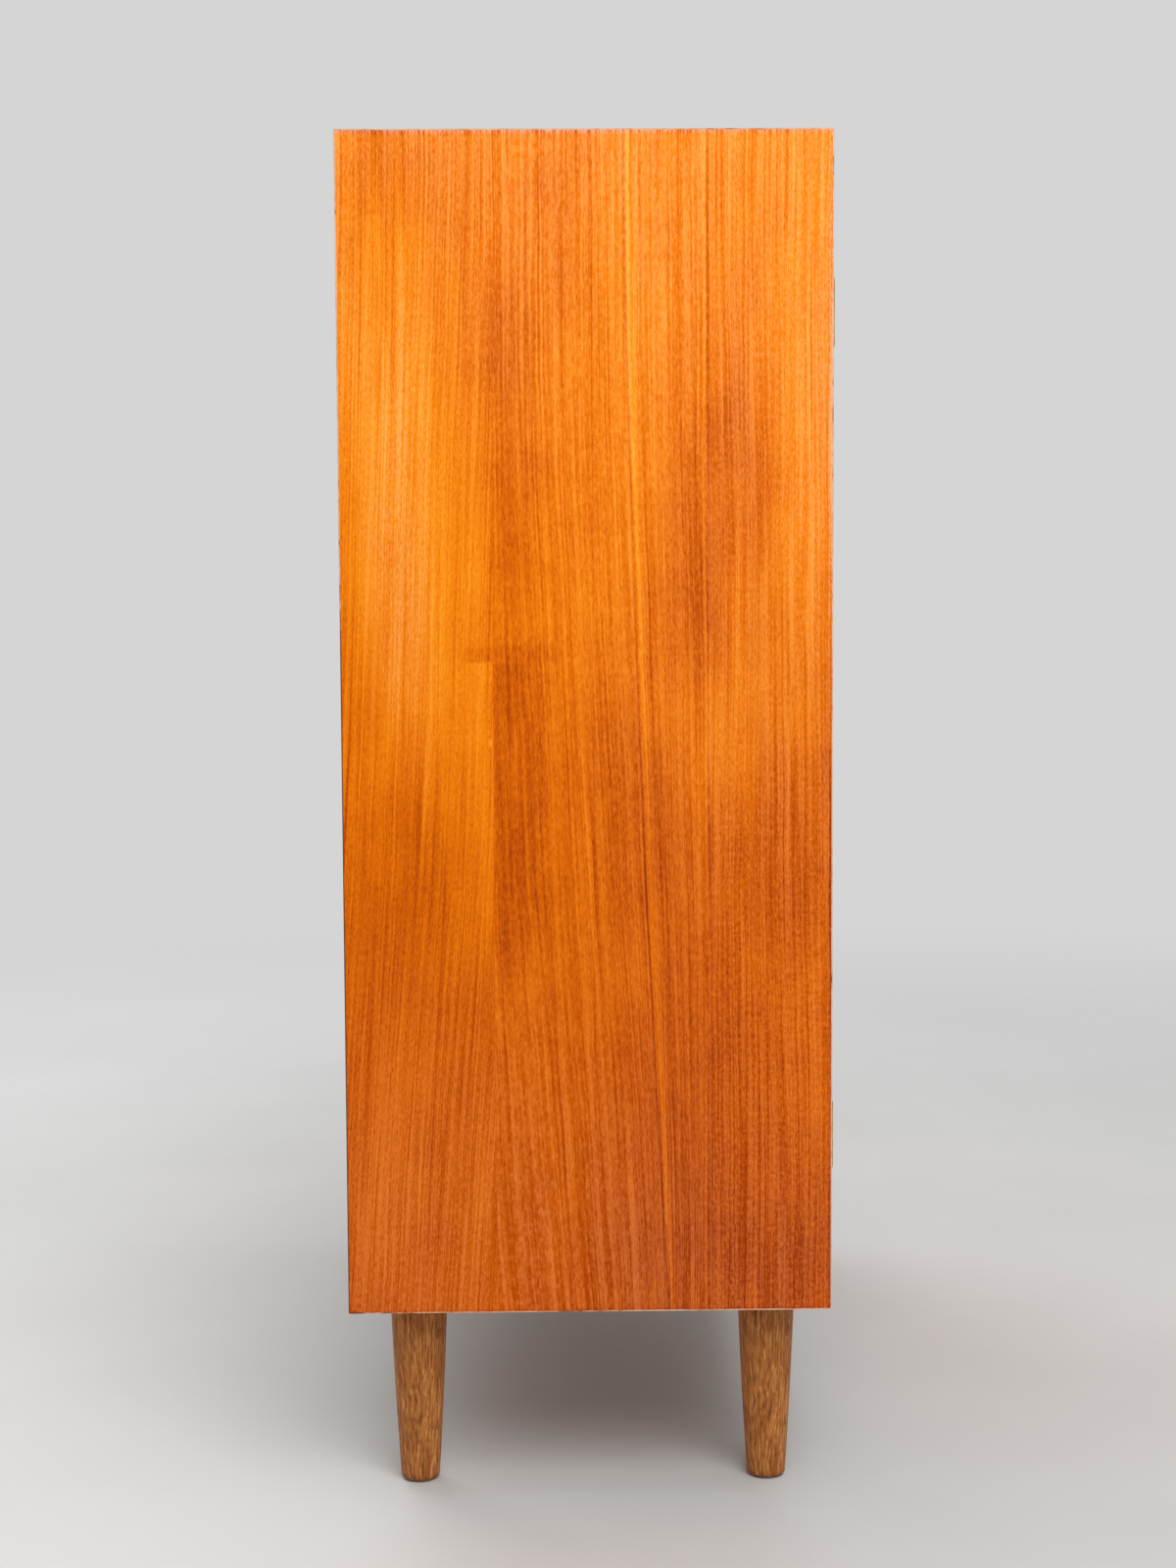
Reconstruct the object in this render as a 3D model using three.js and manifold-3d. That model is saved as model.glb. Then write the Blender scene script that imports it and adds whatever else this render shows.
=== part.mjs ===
// A two-door wardrobe on four turned legs: a mitred case with a centre divider, a hanging rail on
// the left, shelves on the right, and two inset doors on butt hinges. The right door locks into the
// left one, which has a slide bolt at its top and at its foot.
// Millimetres, +Z up. The doors face -Y. The origin is on the floor, at the centre of the footprint.

import * as THREE from "three";
import { mergeVertices } from "three/addons/utils/BufferGeometryUtils.js";
import Module from "manifold-3d";

const wasm = await Module();
wasm.setup();

// ---------------------------------------------------------------- driving dimensions

const FIT = 0.3; // clearance between a piece and the recess, bore or groove that holds it
const CUT = 1; // how far a cutting tool runs past an open face
const END_ROOM = 1; // between the end of a bolt that is shot and the bottom of its hole

// Case
const CASE_WIDTH = 1000;
const CASE_DEPTH = 480;
const CASE_HEIGHT = 1155;
const BOARD = 20; // sides, top and bottom
const BACK_THICKNESS = 6;
const BACK_LAP = 10; // how far the back laps onto each case board
const DIVIDER_THICKNESS = 18;
const HOUSING_DEPTH = 5; // of the grooves that hold the divider's ends

// Legs
const LEG_HEIGHT = 190;
const LEG_TOP_RADIUS = 29;
const LEG_FOOT_RADIUS = 19.3;
const LEG_SWELL = 0.7; // how much the taper bulges at mid height
const LEG_FOOT_ROUNDING = 6;
const LEG_SIDE_INSET = 65; // leg axis to the case's side face
const LEG_FRONT_INSET = 60;
const LEG_REAR_INSET = 66;
const LEG_BOLT_RADIUS = 4;
const LEG_BOLT_IN_LEG = 45;
const TEE_NUT_FLANGE_RADIUS = 12;
const TEE_NUT_FLANGE = 1.5;
const TEE_NUT_WALL = 1;
const TEE_NUT_LENGTH = 12;
const LEG_BOLT_TIP_DROP = 3; // of the bolt's end below the bottom board's upper face

// Doors
const DOOR_THICKNESS = 18;
const DOOR_GAP = 2; // all round each door
const DOOR_STOP_GAP = 0.5; // between the shut doors and the divider's front edge

// Hinges
const HINGE_HEIGHT = 64;
const HINGE_INSET = 150; // hinge centre to the door's end
const LEAF_THICKNESS = 1.6;
const LEAF_WIDTH = 15;
const KNUCKLE_RADIUS = 3;
const HINGE_PIN_RADIUS = 1.3;
const PIN_BUTTON_RADIUS = 2.8;
const PIN_BUTTON_HEIGHT = 2;

// Handles
const HANDLE_LENGTH = 180;
const HANDLE_REACH = 30;
const HANDLE_WIDTH = 16;
const HANDLE_FOOT = 28; // length of each foot along the door
const HANDLE_GRIP = 11; // thickness of the bow at its middle
const HANDLE_TIP = 5; // thickness of the bow at its ends
const HANDLE_HEIGHT = 610; // handle centre above the case's underside
const HANDLE_FROM_EDGE = 44; // handle axis to the door's meeting edge
const HANDLE_SCREW_RADIUS = 2;
const HANDLE_SCREW_HEAD_RADIUS = 4;
const HANDLE_SCREW_HEAD = 2.4;
const HANDLE_SCREW_BITE = 9; // how far a screw runs into the handle's foot

// Lock, in a pocket in the right door's meeting edge
const KEYHOLE_HEIGHT = 465; // key axis above the case's underside
const LOCK_BACKSET = 24; // key axis to the door's meeting edge
const LOCK_WIDTH = 42;
const LOCK_THICKNESS = 11;
const LOCK_WALL = 1.5;
const LOCK_BELOW_KEY = 16;
const LOCK_ABOVE_KEY = 26;
const FACEPLATE_THICKNESS = 2;
const FACEPLATE_WIDTH = 14;
const FACEPLATE_OVERHANG = 12; // beyond the lock's case, above and below
const LOCK_BOLT_HEIGHT = 12;
const LOCK_BOLT_THICKNESS = 7;
const LOCK_BOLT_LENGTH = 32;
const LOCK_BOLT_ABOVE_KEY = 6;
const LOCK_BOLT_THROW = 8;
const STRIKE_THICKNESS = 1.5;
const STRIKE_HEIGHT = 44;
const STRIKE_CLEARANCE = 0.8; // round the bolt

// Key
const KEY_REACH = 34; // how far the key stands out in front of the doors
const KEY_SHANK_RADIUS = 2.5;
const KEY_BIT_RADIUS = 8;
const KEY_BIT_THICKNESS = 2.4;
const KEY_BIT_LENGTH = 5;
const KEY_BIT_SETBACK = 1.5; // bit to the end of the shank
const KEY_BOW_LENGTH = 19;
const KEY_BOW_WIDTH = 22;
const KEY_BOW_RIM = 4;
const KEY_BOW_THICKNESS = 3;
const KEY_COLLAR_RADIUS = 4;
const KEY_COLLAR_LENGTH = 1.6;
const KEY_COLLAR_REACH = 8.5; // collar in front of the doors
const KEY_CLEARANCE = 0.7; // round the key in its keyhole
const KEY_TIP_CLEARANCE = 0.6; // behind the key, inside the lock
const ESCUTCHEON_THICKNESS = 1;
const ESCUTCHEON_WIDTH = 17;
const ESCUTCHEON_HEIGHT = 34;
const ESCUTCHEON_DROP = 2; // its middle below the key axis

// Slide bolts, on the left door's inner face
const SLIDE_BOLT_FROM_EDGE = 29; // bolt axis to the door's meeting edge
const SLIDE_BOLT_RADIUS = 4;
const SLIDE_BOLT_LENGTH = 73;
const SLIDE_BOLT_SHY = 1; // tip to the door's end when drawn
const SLIDE_BOLT_THROW = 12;
const SLIDE_BOLT_HOLE_CLEARANCE = 0.6;
const SLIDE_PLATE_THICKNESS = 2;
const SLIDE_PLATE_WIDTH = 22;
const SLIDE_PLATE_LENGTH = 60;
const SLIDE_PLATE_FROM_END = 10; // plate to the door's end
const SLIDE_LOOP_LENGTH = 9;
const SLIDE_LOOP_WALL = 2;
const SLIDE_LOOP_FROM_END = 4; // loop to the plate's end
const SLIDE_KNOB_RADIUS = 3;
const SLIDE_KNOB_REACH = 8;

// Hanging rail
const RAIL_RADIUS = 12.5;
const RAIL_DROP = 50; // rail axis to the top board
const SOCKET_RADIUS = 20;
const SOCKET_BASE = 3;
const SOCKET_COLLAR_RADIUS = 16.5;
const SOCKET_LENGTH = 12;
const SOCKET_BEVEL = 1.5; // slope between the socket's base and its collar

// Shelves
const SHELF_THICKNESS = 18;
const SHELF_HEIGHTS = [380, 752]; // shelf undersides above the case's underside
const SHELF_END_GAP = 1.8;
const SHELF_FRONT_SETBACK = 20; // shelf to the shut door
const SHELF_REAR_GAP = 4;
const PIN_RADIUS = 2.5;
const PIN_IN_BOARD = 9;
const PIN_OUT = 9;
const PIN_COLLAR_RADIUS = 4;
const PIN_COLLAR = 1;
const PIN_INSET = 60; // pin holes to the door and to the back
const PIN_PITCH = 40; // between the hole above, the hole in use and the hole below

// How finely the round shapes are faceted
const LEG_SIDES = 28;
const BOLT_SIDES = 14;
const HINGE_SIDES = 16;
const RAIL_SIDES = 24;
const PIN_SIDES = 10;
const HOLE_SIDES = 10;
const CURVE_STEPS = 12;

// ---------------------------------------------------------------- places worked out from them
// The case frame: x from the middle, y from the front edges back, z from the case's underside up.

const frontReach = Math.max(KEY_REACH, HANDLE_REACH);
const innerX = CASE_WIDTH / 2 - BOARD; // a side's inner face
const floorZ = BOARD; // the bottom board's upper face
const ceilingZ = CASE_HEIGHT - BOARD; // the top board's underside
const backY = CASE_DEPTH - BACK_THICKNESS; // the back's inner face
const dividerX = DIVIDER_THICKNESS / 2;
const dividerFrontY = DOOR_THICKNESS + DOOR_STOP_GAP;
const meetingX = DOOR_GAP / 2; // a door's meeting edge, from the middle
const hingeEdgeX = innerX - DOOR_GAP; // a door's hinged edge
const doorFootZ = floorZ + DOOR_GAP;
const doorHeadZ = ceilingZ - DOOR_GAP;
const hingeZs = { lower: doorFootZ + HINGE_INSET, upper: doorHeadZ - HINGE_INSET };
const hingeAxisX = innerX - DOOR_GAP / 2;
const hingeAxisDrop = FIT; // the hinge axis stands just in front of the doors' faces
const legXs = { left: LEG_SIDE_INSET - CASE_WIDTH / 2, right: CASE_WIDTH / 2 - LEG_SIDE_INSET };
const legYs = { front: LEG_FRONT_INSET, rear: CASE_DEPTH - LEG_REAR_INSET };
const handleX = meetingX + HANDLE_FROM_EDGE;
const handleScrewOffset = (HANDLE_LENGTH - HANDLE_FOOT) / 2;
const keyX = meetingX + LOCK_BACKSET;
const lockFrontY = (DOOR_THICKNESS - LOCK_THICKNESS) / 2;
const lockBoltZ = KEYHOLE_HEIGHT + LOCK_BOLT_ABOVE_KEY;
const lockBoltY = (DOOR_THICKNESS - LOCK_BOLT_THICKNESS) / 2;
const slideBoltX = -(meetingX + SLIDE_BOLT_FROM_EDGE);
const slideBoltY = SLIDE_PLATE_THICKNESS + FIT + SLIDE_BOLT_RADIUS; // bolt axis behind the door
const railY = (DOOR_THICKNESS + backY) / 2;
const railZ = ceilingZ - RAIL_DROP;
const pinYs = { front: DOOR_THICKNESS + PIN_INSET, rear: backY - PIN_INSET };
const pinZOf = (shelfZ) => shelfZ - FIT - PIN_RADIUS;

// ---------------------------------------------------------------- materials

const material = (color, roughness, metalness) =>
  new THREE.MeshStandardMaterial({ color, roughness, metalness });

const TEAK = material(0xd9772a, 0.42, 0);
const LEG_WOOD = material(0x9b602f, 0.55, 0);
const BEECH = material(0xcfa474, 0.5, 0);
const PLYWOOD = material(0xb98a5a, 0.7, 0);
const BRASS = material(0xb8914e, 0.35, 1);
const STEEL = material(0x9a9ca0, 0.4, 1);

// ---------------------------------------------------------------- shapes

// A box from its low and high limits on each axis.
function block(x, y, z) {
  return new THREE.BoxGeometry(x[1] - x[0], y[1] - y[0], z[1] - z[0]).translate(
    (x[0] + x[1]) / 2,
    (y[0] + y[1]) / 2,
    (z[0] + z[1]) / 2,
  );
}

// A round bar between two heights, standing on Z.
function post(radius, z, sides) {
  return new THREE.CylinderGeometry(radius, radius, z[1] - z[0], sides)
    .rotateX(Math.PI / 2)
    .translate(0, 0, (z[0] + z[1]) / 2);
}

// A turned shape on Z, from [radius, height] points that start and end on the axis.
function turned(points, sides) {
  const profile = points.map(([r, z]) => new THREE.Vector2(r, z));
  return new THREE.LatheGeometry(profile, sides).rotateX(Math.PI / 2);
}

// A flat outline drawn across the case, x to the right and z up, made solid from y[0] back to y[1].
function slab(outline, y) {
  const settings = { depth: y[1] - y[0], bevelEnabled: false, curveSegments: CURVE_STEPS };
  return new THREE.ExtrudeGeometry(outline, settings).rotateX(Math.PI / 2).translate(0, y[1], 0);
}

function outlineOf(points) {
  return new THREE.Shape(points.map(([x, z]) => new THREE.Vector2(x, z)));
}

// A keyhole's outline: a round hole with a slot below it for the bit.
function keyholeOutline(x, z) {
  const slot = KEY_BIT_THICKNESS / 2 + KEY_CLEARANCE;
  const round = KEY_SHANK_RADIUS + KEY_CLEARANCE;
  const side = Math.acos(slot / round);
  const shape = new THREE.Shape();
  shape.moveTo(x + slot, z - KEY_BIT_RADIUS - KEY_CLEARANCE);
  shape.absarc(x, z, round, -side, Math.PI + side, false);
  shape.lineTo(x - slot, z - KEY_BIT_RADIUS - KEY_CLEARANCE);
  shape.closePath();
  return shape;
}

// A closed geometry as a manifold solid.
function solidOf(geometry) {
  const bare = geometry.index ? geometry.toNonIndexed() : geometry.clone();
  bare.deleteAttribute("normal");
  bare.deleteAttribute("uv");
  const merged = mergeVertices(bare, 1e-4);
  const mesh = new wasm.Mesh({
    numProp: 3,
    vertProperties: merged.attributes.position.array,
    triVerts: new Uint32Array(merged.index.array),
  });
  return new wasm.Manifold(mesh);
}

// The body geometries joined, less the cutter geometries.
function shaped(bodies, cutters = []) {
  let made = bodies.map(solidOf).reduce((a, b) => a.add(b));
  for (const cutter of cutters) made = made.subtract(solidOf(cutter));
  const mesh = made.getMesh();
  const geometry = new THREE.BufferGeometry();
  geometry.setAttribute("position", new THREE.BufferAttribute(mesh.vertProperties, 3));
  geometry.setIndex(new THREE.BufferAttribute(mesh.triVerts, 1));
  geometry.computeVertexNormals();
  return geometry;
}

function piece(name, geometry, finish) {
  const mesh = new THREE.Mesh(geometry, finish);
  mesh.name = name;
  return mesh;
}

function groupAt(x, y, z, ...children) {
  const group = new THREE.Group();
  group.position.set(x, y, z);
  if (children.length) group.add(...children);
  return group;
}

// ---------------------------------------------------------------- case

// The recess in the case boards' rear edges that takes the back.
function backRecess() {
  const x = innerX + BACK_LAP;
  return block([-x, x], [backY, CASE_DEPTH + CUT], [floorZ - BACK_LAP, ceilingZ + BACK_LAP]);
}

// Pockets for each hinge on a door's side, in the case board or in the door's edge: a flat one for a
// leaf and a round one for the knuckles and the pin's buttons, which stand half in the gap.
function hingePockets(side, face, depth) {
  const x = [face - Math.sign(depth) * CUT, face + depth].map((v) => v * side);
  const high = HINGE_HEIGHT / 2 + FIT;
  const pinHigh = high + PIN_BUTTON_HEIGHT + FIT;
  return Object.values(hingeZs).flatMap((z) => [
    block([Math.min(...x), Math.max(...x)], [-CUT, LEAF_WIDTH + FIT], [z - high, z + high]),
    post(KNUCKLE_RADIUS + FIT, [z - pinHigh, z + pinHigh], HINGE_SIDES).translate(
      side * hingeAxisX,
      -hingeAxisDrop,
      0,
    ),
  ]);
}

// Blind holes for the shelf pins: for each shelf one row in use, one above and one below.
function pinHoles(face, inward) {
  const holes = [];
  for (const shelfZ of SHELF_HEIGHTS)
    for (const step of [-PIN_PITCH, 0, PIN_PITCH])
      for (const y of Object.values(pinYs)) {
        const depth = PIN_IN_BOARD + FIT;
        const hole = new THREE.CylinderGeometry(
          PIN_RADIUS + FIT,
          PIN_RADIUS + FIT,
          depth + CUT,
          HOLE_SIDES,
        );
        const x = face + (inward * (depth - CUT)) / 2;
        holes.push(hole.rotateZ(Math.PI / 2).translate(x, y, pinZOf(shelfZ) + step));
      }
  return holes;
}

function sideBoard(side) {
  const outer = (side * CASE_WIDTH) / 2;
  const inner = side * innerX;
  const points = [
    [outer, 0],
    [inner, floorZ],
    [inner, ceilingZ],
    [outer, CASE_HEIGHT],
  ];
  const board = slab(outlineOf(points), [0, CASE_DEPTH]);
  const cutters = [backRecess(), ...hingePockets(side, innerX, LEAF_THICKNESS + FIT)];
  if (side > 0) cutters.push(...pinHoles(innerX, 1));
  return shaped([board], cutters);
}

function dividerGroove(z) {
  const x = dividerX + FIT;
  return block([-x, x], [dividerFrontY - FIT, backY + CUT], z);
}

function slideBoltHole(z) {
  return post(SLIDE_BOLT_RADIUS + SLIDE_BOLT_HOLE_CLEARANCE, z, BOLT_SIDES).translate(
    slideBoltX,
    DOOR_THICKNESS + slideBoltY,
    0,
  );
}

const slideBoltHoleDepth = SLIDE_BOLT_THROW - SLIDE_BOLT_SHY - DOOR_GAP + END_ROOM;

function topBoard() {
  const points = [
    [-innerX, ceilingZ],
    [innerX, ceilingZ],
    [CASE_WIDTH / 2, CASE_HEIGHT],
    [-CASE_WIDTH / 2, CASE_HEIGHT],
  ];
  return shaped(
    [slab(outlineOf(points), [0, CASE_DEPTH])],
    [
      backRecess(),
      dividerGroove([ceilingZ - CUT, ceilingZ + HOUSING_DEPTH]),
      slideBoltHole([ceilingZ - CUT, ceilingZ + slideBoltHoleDepth]),
    ],
  );
}

function bottomBoard() {
  const points = [
    [-CASE_WIDTH / 2, 0],
    [CASE_WIDTH / 2, 0],
    [innerX, floorZ],
    [-innerX, floorZ],
  ];
  const cutters = [
    backRecess(),
    dividerGroove([floorZ - HOUSING_DEPTH, floorZ + CUT]),
    slideBoltHole([floorZ - slideBoltHoleDepth, floorZ + CUT]),
  ];
  const barrel = LEG_BOLT_RADIUS + FIT + TEE_NUT_WALL + FIT;
  const seat = [floorZ - TEE_NUT_FLANGE - FIT, floorZ + CUT];
  for (const x of Object.values(legXs))
    for (const y of Object.values(legYs)) {
      cutters.push(post(barrel, [-CUT, floorZ + CUT], BOLT_SIDES).translate(x, y, 0));
      cutters.push(post(TEE_NUT_FLANGE_RADIUS + FIT, seat, BOLT_SIDES).translate(x, y, 0));
    }
  return shaped([slab(outlineOf(points), [0, CASE_DEPTH])], cutters);
}

function backPanel() {
  const x = innerX + BACK_LAP - FIT;
  const z = [floorZ - BACK_LAP + FIT, ceilingZ + BACK_LAP - FIT];
  return block([-x, x], [backY, CASE_DEPTH], z);
}

function centreDivider() {
  const reach = HOUSING_DEPTH - FIT;
  const board = block(
    [-dividerX, dividerX],
    [dividerFrontY, backY],
    [floorZ - reach, ceilingZ + reach],
  );
  return shaped([board], pinHoles(dividerX, -1));
}

function makeCase() {
  return groupAt(
    0,
    0,
    0,
    piece("side_panel_left", sideBoard(-1), TEAK),
    piece("side_panel_right", sideBoard(1), TEAK),
    piece("top_panel", topBoard(), TEAK),
    piece("bottom_panel", bottomBoard(), TEAK),
    piece("back_panel", backPanel(), PLYWOOD),
    piece("centre_divider", centreDivider(), TEAK),
  );
}

// ---------------------------------------------------------------- legs

// A leg's radius at a height above the floor, ignoring the rounding at its foot.
function legRadius(z) {
  const t = z / LEG_HEIGHT;
  return LEG_FOOT_RADIUS + (LEG_TOP_RADIUS - LEG_FOOT_RADIUS) * t + LEG_SWELL * 4 * t * (1 - t);
}

function leg() {
  const points = [[0, 0]];
  const flat = legRadius(LEG_FOOT_ROUNDING) - LEG_FOOT_ROUNDING;
  for (let i = 0; i <= 4; i++) {
    const a = (i / 4) * (Math.PI / 2);
    points.push([
      flat + LEG_FOOT_ROUNDING * Math.sin(a),
      LEG_FOOT_ROUNDING * (1 - Math.cos(a)),
    ]);
  }
  for (const z of [0.25, 0.5, 0.75, 1].map((t) => t * LEG_HEIGHT)) points.push([legRadius(z), z]);
  const bore = LEG_BOLT_RADIUS + FIT;
  const boreFoot = LEG_HEIGHT - LEG_BOLT_IN_LEG - FIT;
  points.push([bore, LEG_HEIGHT], [bore, boreFoot], [0, boreFoot]);
  return turned(points, LEG_SIDES);
}

// A double-ended bolt, its lower half in the leg and its upper half in the tee nut.
function legBolt() {
  const low = -LEG_BOLT_IN_LEG;
  const high = floorZ - LEG_BOLT_TIP_DROP;
  const chamfer = LEG_BOLT_RADIUS / 4;
  const r = LEG_BOLT_RADIUS;
  const points = [
    [0, low],
    [r - chamfer, low],
    [r, low + chamfer],
    [r, high - chamfer],
    [r - chamfer, high],
    [0, high],
  ];
  return turned(points, BOLT_SIDES);
}

// A flanged nut let into the bottom board from above.
function teeNut() {
  const bore = LEG_BOLT_RADIUS + FIT;
  const barrel = bore + TEE_NUT_WALL;
  const underside = floorZ - TEE_NUT_FLANGE;
  const foot = floorZ - TEE_NUT_LENGTH;
  return shaped(
    [
      post(barrel, [foot, floorZ], BOLT_SIDES),
      post(TEE_NUT_FLANGE_RADIUS, [underside, floorZ], BOLT_SIDES),
    ],
    [post(bore, [foot - CUT, floorZ + CUT], BOLT_SIDES)],
  );
}

function makeLegs() {
  const legs = new THREE.Group();
  for (const [row, y] of Object.entries(legYs))
    for (const [side, x] of Object.entries(legXs)) {
      const where = `${row}_${side}`;
      legs.add(
        groupAt(x, y, -LEG_HEIGHT, piece(`leg_${where}`, leg(), LEG_WOOD)),
        groupAt(x, y, 0, piece(`leg_bolt_${where}`, legBolt(), STEEL)),
        groupAt(x, y, 0, piece(`tee_nut_${where}`, teeNut(), STEEL)),
      );
    }
  return legs;
}

// ---------------------------------------------------------------- hinges
// The hinge frame: the pin's axis on Z through the origin, the door towards +X, the case behind +Y.

const leafInner = DOOR_GAP / 2;
const leafOuter = leafInner + LEAF_THICKNESS;
const leafFrontY = KNUCKLE_RADIUS + FIT; // the plate stops short of the other leaf's knuckles

// One leaf, on the case's side (-1) or the door's side (1), with its knuckles on the given heights.
function hingeLeaf(side, knuckles) {
  const x = side < 0 ? [-leafOuter, -leafInner] : [leafInner, leafOuter];
  const plateY = [leafFrontY, hingeAxisDrop + LEAF_WIDTH];
  const bodies = [block(x, plateY, [-HINGE_HEIGHT / 2, HINGE_HEIGHT / 2])];
  for (const z of knuckles) {
    bodies.push(block(x, [0, leafFrontY + LEAF_THICKNESS], z));
    bodies.push(post(KNUCKLE_RADIUS, z, HINGE_SIDES));
  }
  const bore = post(
    HINGE_PIN_RADIUS + FIT,
    [-HINGE_HEIGHT / 2 - CUT, HINGE_HEIGHT / 2 + CUT],
    HINGE_SIDES,
  );
  return shaped(bodies, [bore]);
}

// A pin with a low button at each end.
function hingePin() {
  const r = HINGE_PIN_RADIUS;
  const collar = HINGE_HEIGHT / 2 + FIT;
  const head = [
    [r, collar],
    [PIN_BUTTON_RADIUS, collar],
    [PIN_BUTTON_RADIUS, collar + 0.4 * PIN_BUTTON_HEIGHT],
    [PIN_BUTTON_RADIUS * 0.8, collar + 0.8 * PIN_BUTTON_HEIGHT],
    [PIN_BUTTON_RADIUS * 0.4, collar + PIN_BUTTON_HEIGHT],
    [0, collar + PIN_BUTTON_HEIGHT],
  ];
  const foot = head.map(([radius, z]) => [radius, -z]).reverse();
  return turned([...foot, ...head], PIN_SIDES);
}

function makeHinge(name) {
  const third = HINGE_HEIGHT / 6;
  const caseKnuckles = [
    [-HINGE_HEIGHT / 2, -third - FIT / 2],
    [third + FIT / 2, HINGE_HEIGHT / 2],
  ];
  const doorKnuckle = [[-third + FIT / 2, third - FIT / 2]];
  const group = new THREE.Group();
  group.add(
    piece(`hinge_case_leaf_${name}`, hingeLeaf(-1, caseKnuckles), BRASS),
    piece(`hinge_door_leaf_${name}`, hingeLeaf(1, doorKnuckle), BRASS),
    piece(`hinge_pin_${name}`, hingePin(), BRASS),
  );
  return group;
}

function makeHinges() {
  const hinges = new THREE.Group();
  for (const [height, z] of Object.entries(hingeZs)) {
    const left = makeHinge(`left_${height}`);
    left.position.set(-hingeAxisX, -hingeAxisDrop, z);
    const right = makeHinge(`right_${height}`);
    right.position.set(hingeAxisX, -hingeAxisDrop, z);
    right.rotation.y = Math.PI; // the same hinge turned over
    hinges.add(left, right);
  }
  return hinges;
}

// ---------------------------------------------------------------- doors

const handleScrewZs = {
  lower: HANDLE_HEIGHT - handleScrewOffset,
  upper: HANDLE_HEIGHT + handleScrewOffset,
};

// A hole along Y, through the door and as far into the handle as asked.
function handleScrewHole(x, z, y) {
  return new THREE.CylinderGeometry(
    HANDLE_SCREW_RADIUS + FIT,
    HANDLE_SCREW_RADIUS + FIT,
    y[1] - y[0],
    HOLE_SIDES,
  ).translate(x, (y[0] + y[1]) / 2, z);
}

function doorBlank(side) {
  const x = [meetingX, hingeEdgeX].map((v) => v * side);
  return block([Math.min(...x), Math.max(...x)], [0, DOOR_THICKNESS], [doorFootZ, doorHeadZ]);
}

function doorCutters(side) {
  const through = [-CUT, DOOR_THICKNESS + CUT];
  return [
    ...hingePockets(side, hingeEdgeX, -(LEAF_THICKNESS + FIT)),
    ...Object.values(handleScrewZs).map((z) => handleScrewHole(side * handleX, z, through)),
  ];
}

// The lock's bolt, grown by a clearance, reaching from one x to another.
function lockBoltBar(x, clearance) {
  return block(
    x,
    [lockBoltY - clearance, lockBoltY + LOCK_BOLT_THICKNESS + clearance],
    [lockBoltZ - clearance, lockBoltZ + LOCK_BOLT_HEIGHT + clearance],
  );
}

// A thin plate let into a door's meeting edge, grown by a clearance, from one x to another.
function edgePlate(x, z, clearance) {
  const middle = DOOR_THICKNESS / 2;
  return block(
    x,
    [middle - FACEPLATE_WIDTH / 2 - clearance, middle + FACEPLATE_WIDTH / 2 + clearance],
    [z[0] - clearance, z[1] + clearance],
  );
}

const strikeMiddleZ = lockBoltZ + LOCK_BOLT_HEIGHT / 2;
const strikeZ = [strikeMiddleZ - STRIKE_HEIGHT / 2, strikeMiddleZ + STRIKE_HEIGHT / 2];
const faceplateZ = [
  KEYHOLE_HEIGHT - LOCK_BELOW_KEY - FACEPLATE_OVERHANG,
  KEYHOLE_HEIGHT + LOCK_ABOVE_KEY + FACEPLATE_OVERHANG,
];

function leftDoor() {
  const pocketEnd = meetingX - LOCK_BOLT_THROW - END_ROOM;
  return shaped(
    [doorBlank(-1)],
    [
      ...doorCutters(-1),
      edgePlate([-meetingX - STRIKE_THICKNESS - FIT, -meetingX + CUT], strikeZ, FIT),
      lockBoltBar([pocketEnd, -meetingX + CUT], STRIKE_CLEARANCE),
    ],
  );
}

function lockPocket() {
  return block(
    [meetingX - CUT, meetingX + LOCK_WIDTH + FIT],
    [lockFrontY - FIT, lockFrontY + LOCK_THICKNESS + FIT],
    [KEYHOLE_HEIGHT - LOCK_BELOW_KEY - FIT, KEYHOLE_HEIGHT + LOCK_ABOVE_KEY + FIT],
  );
}

function rightDoor() {
  return shaped(
    [doorBlank(1)],
    [
      ...doorCutters(1),
      lockPocket(),
      edgePlate([meetingX - CUT, meetingX + FACEPLATE_THICKNESS + FIT], faceplateZ, FIT),
      slab(keyholeOutline(keyX, KEYHOLE_HEIGHT), [-CUT, lockFrontY + CUT]),
    ],
  );
}

// An arched pull: a bow that springs from two feet.
function handle(x) {
  const end = HANDLE_LENGTH / 2;
  const gap = end - HANDLE_FOOT;
  const under = HANDLE_REACH - HANDLE_GRIP;
  const bow = new THREE.Shape();
  bow.moveTo(0, -end);
  bow.lineTo(HANDLE_TIP, -end);
  bow.bezierCurveTo(0.6 * HANDLE_REACH, -0.93 * end, HANDLE_REACH, -0.56 * end, HANDLE_REACH, 0);
  bow.bezierCurveTo(HANDLE_REACH, 0.56 * end, 0.6 * HANDLE_REACH, 0.93 * end, HANDLE_TIP, end);
  bow.lineTo(0, end);
  bow.lineTo(0, gap);
  bow.bezierCurveTo(0.74 * under, 0.9 * gap, under, 0.48 * gap, under, 0);
  bow.bezierCurveTo(under, -0.48 * gap, 0.74 * under, -0.9 * gap, 0, -gap);
  const settings = { depth: HANDLE_WIDTH, bevelEnabled: false, curveSegments: CURVE_STEPS };
  const body = new THREE.ExtrudeGeometry(bow, settings)
    .translate(0, 0, -HANDLE_WIDTH / 2)
    .rotateX(Math.PI / 2)
    .rotateZ(-Math.PI / 2)
    .translate(x, 0, HANDLE_HEIGHT);
  const bored = [-HANDLE_SCREW_BITE - FIT, CUT];
  return shaped(
    [body],
    Object.values(handleScrewZs).map((z) => handleScrewHole(x, z, bored)),
  );
}

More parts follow.
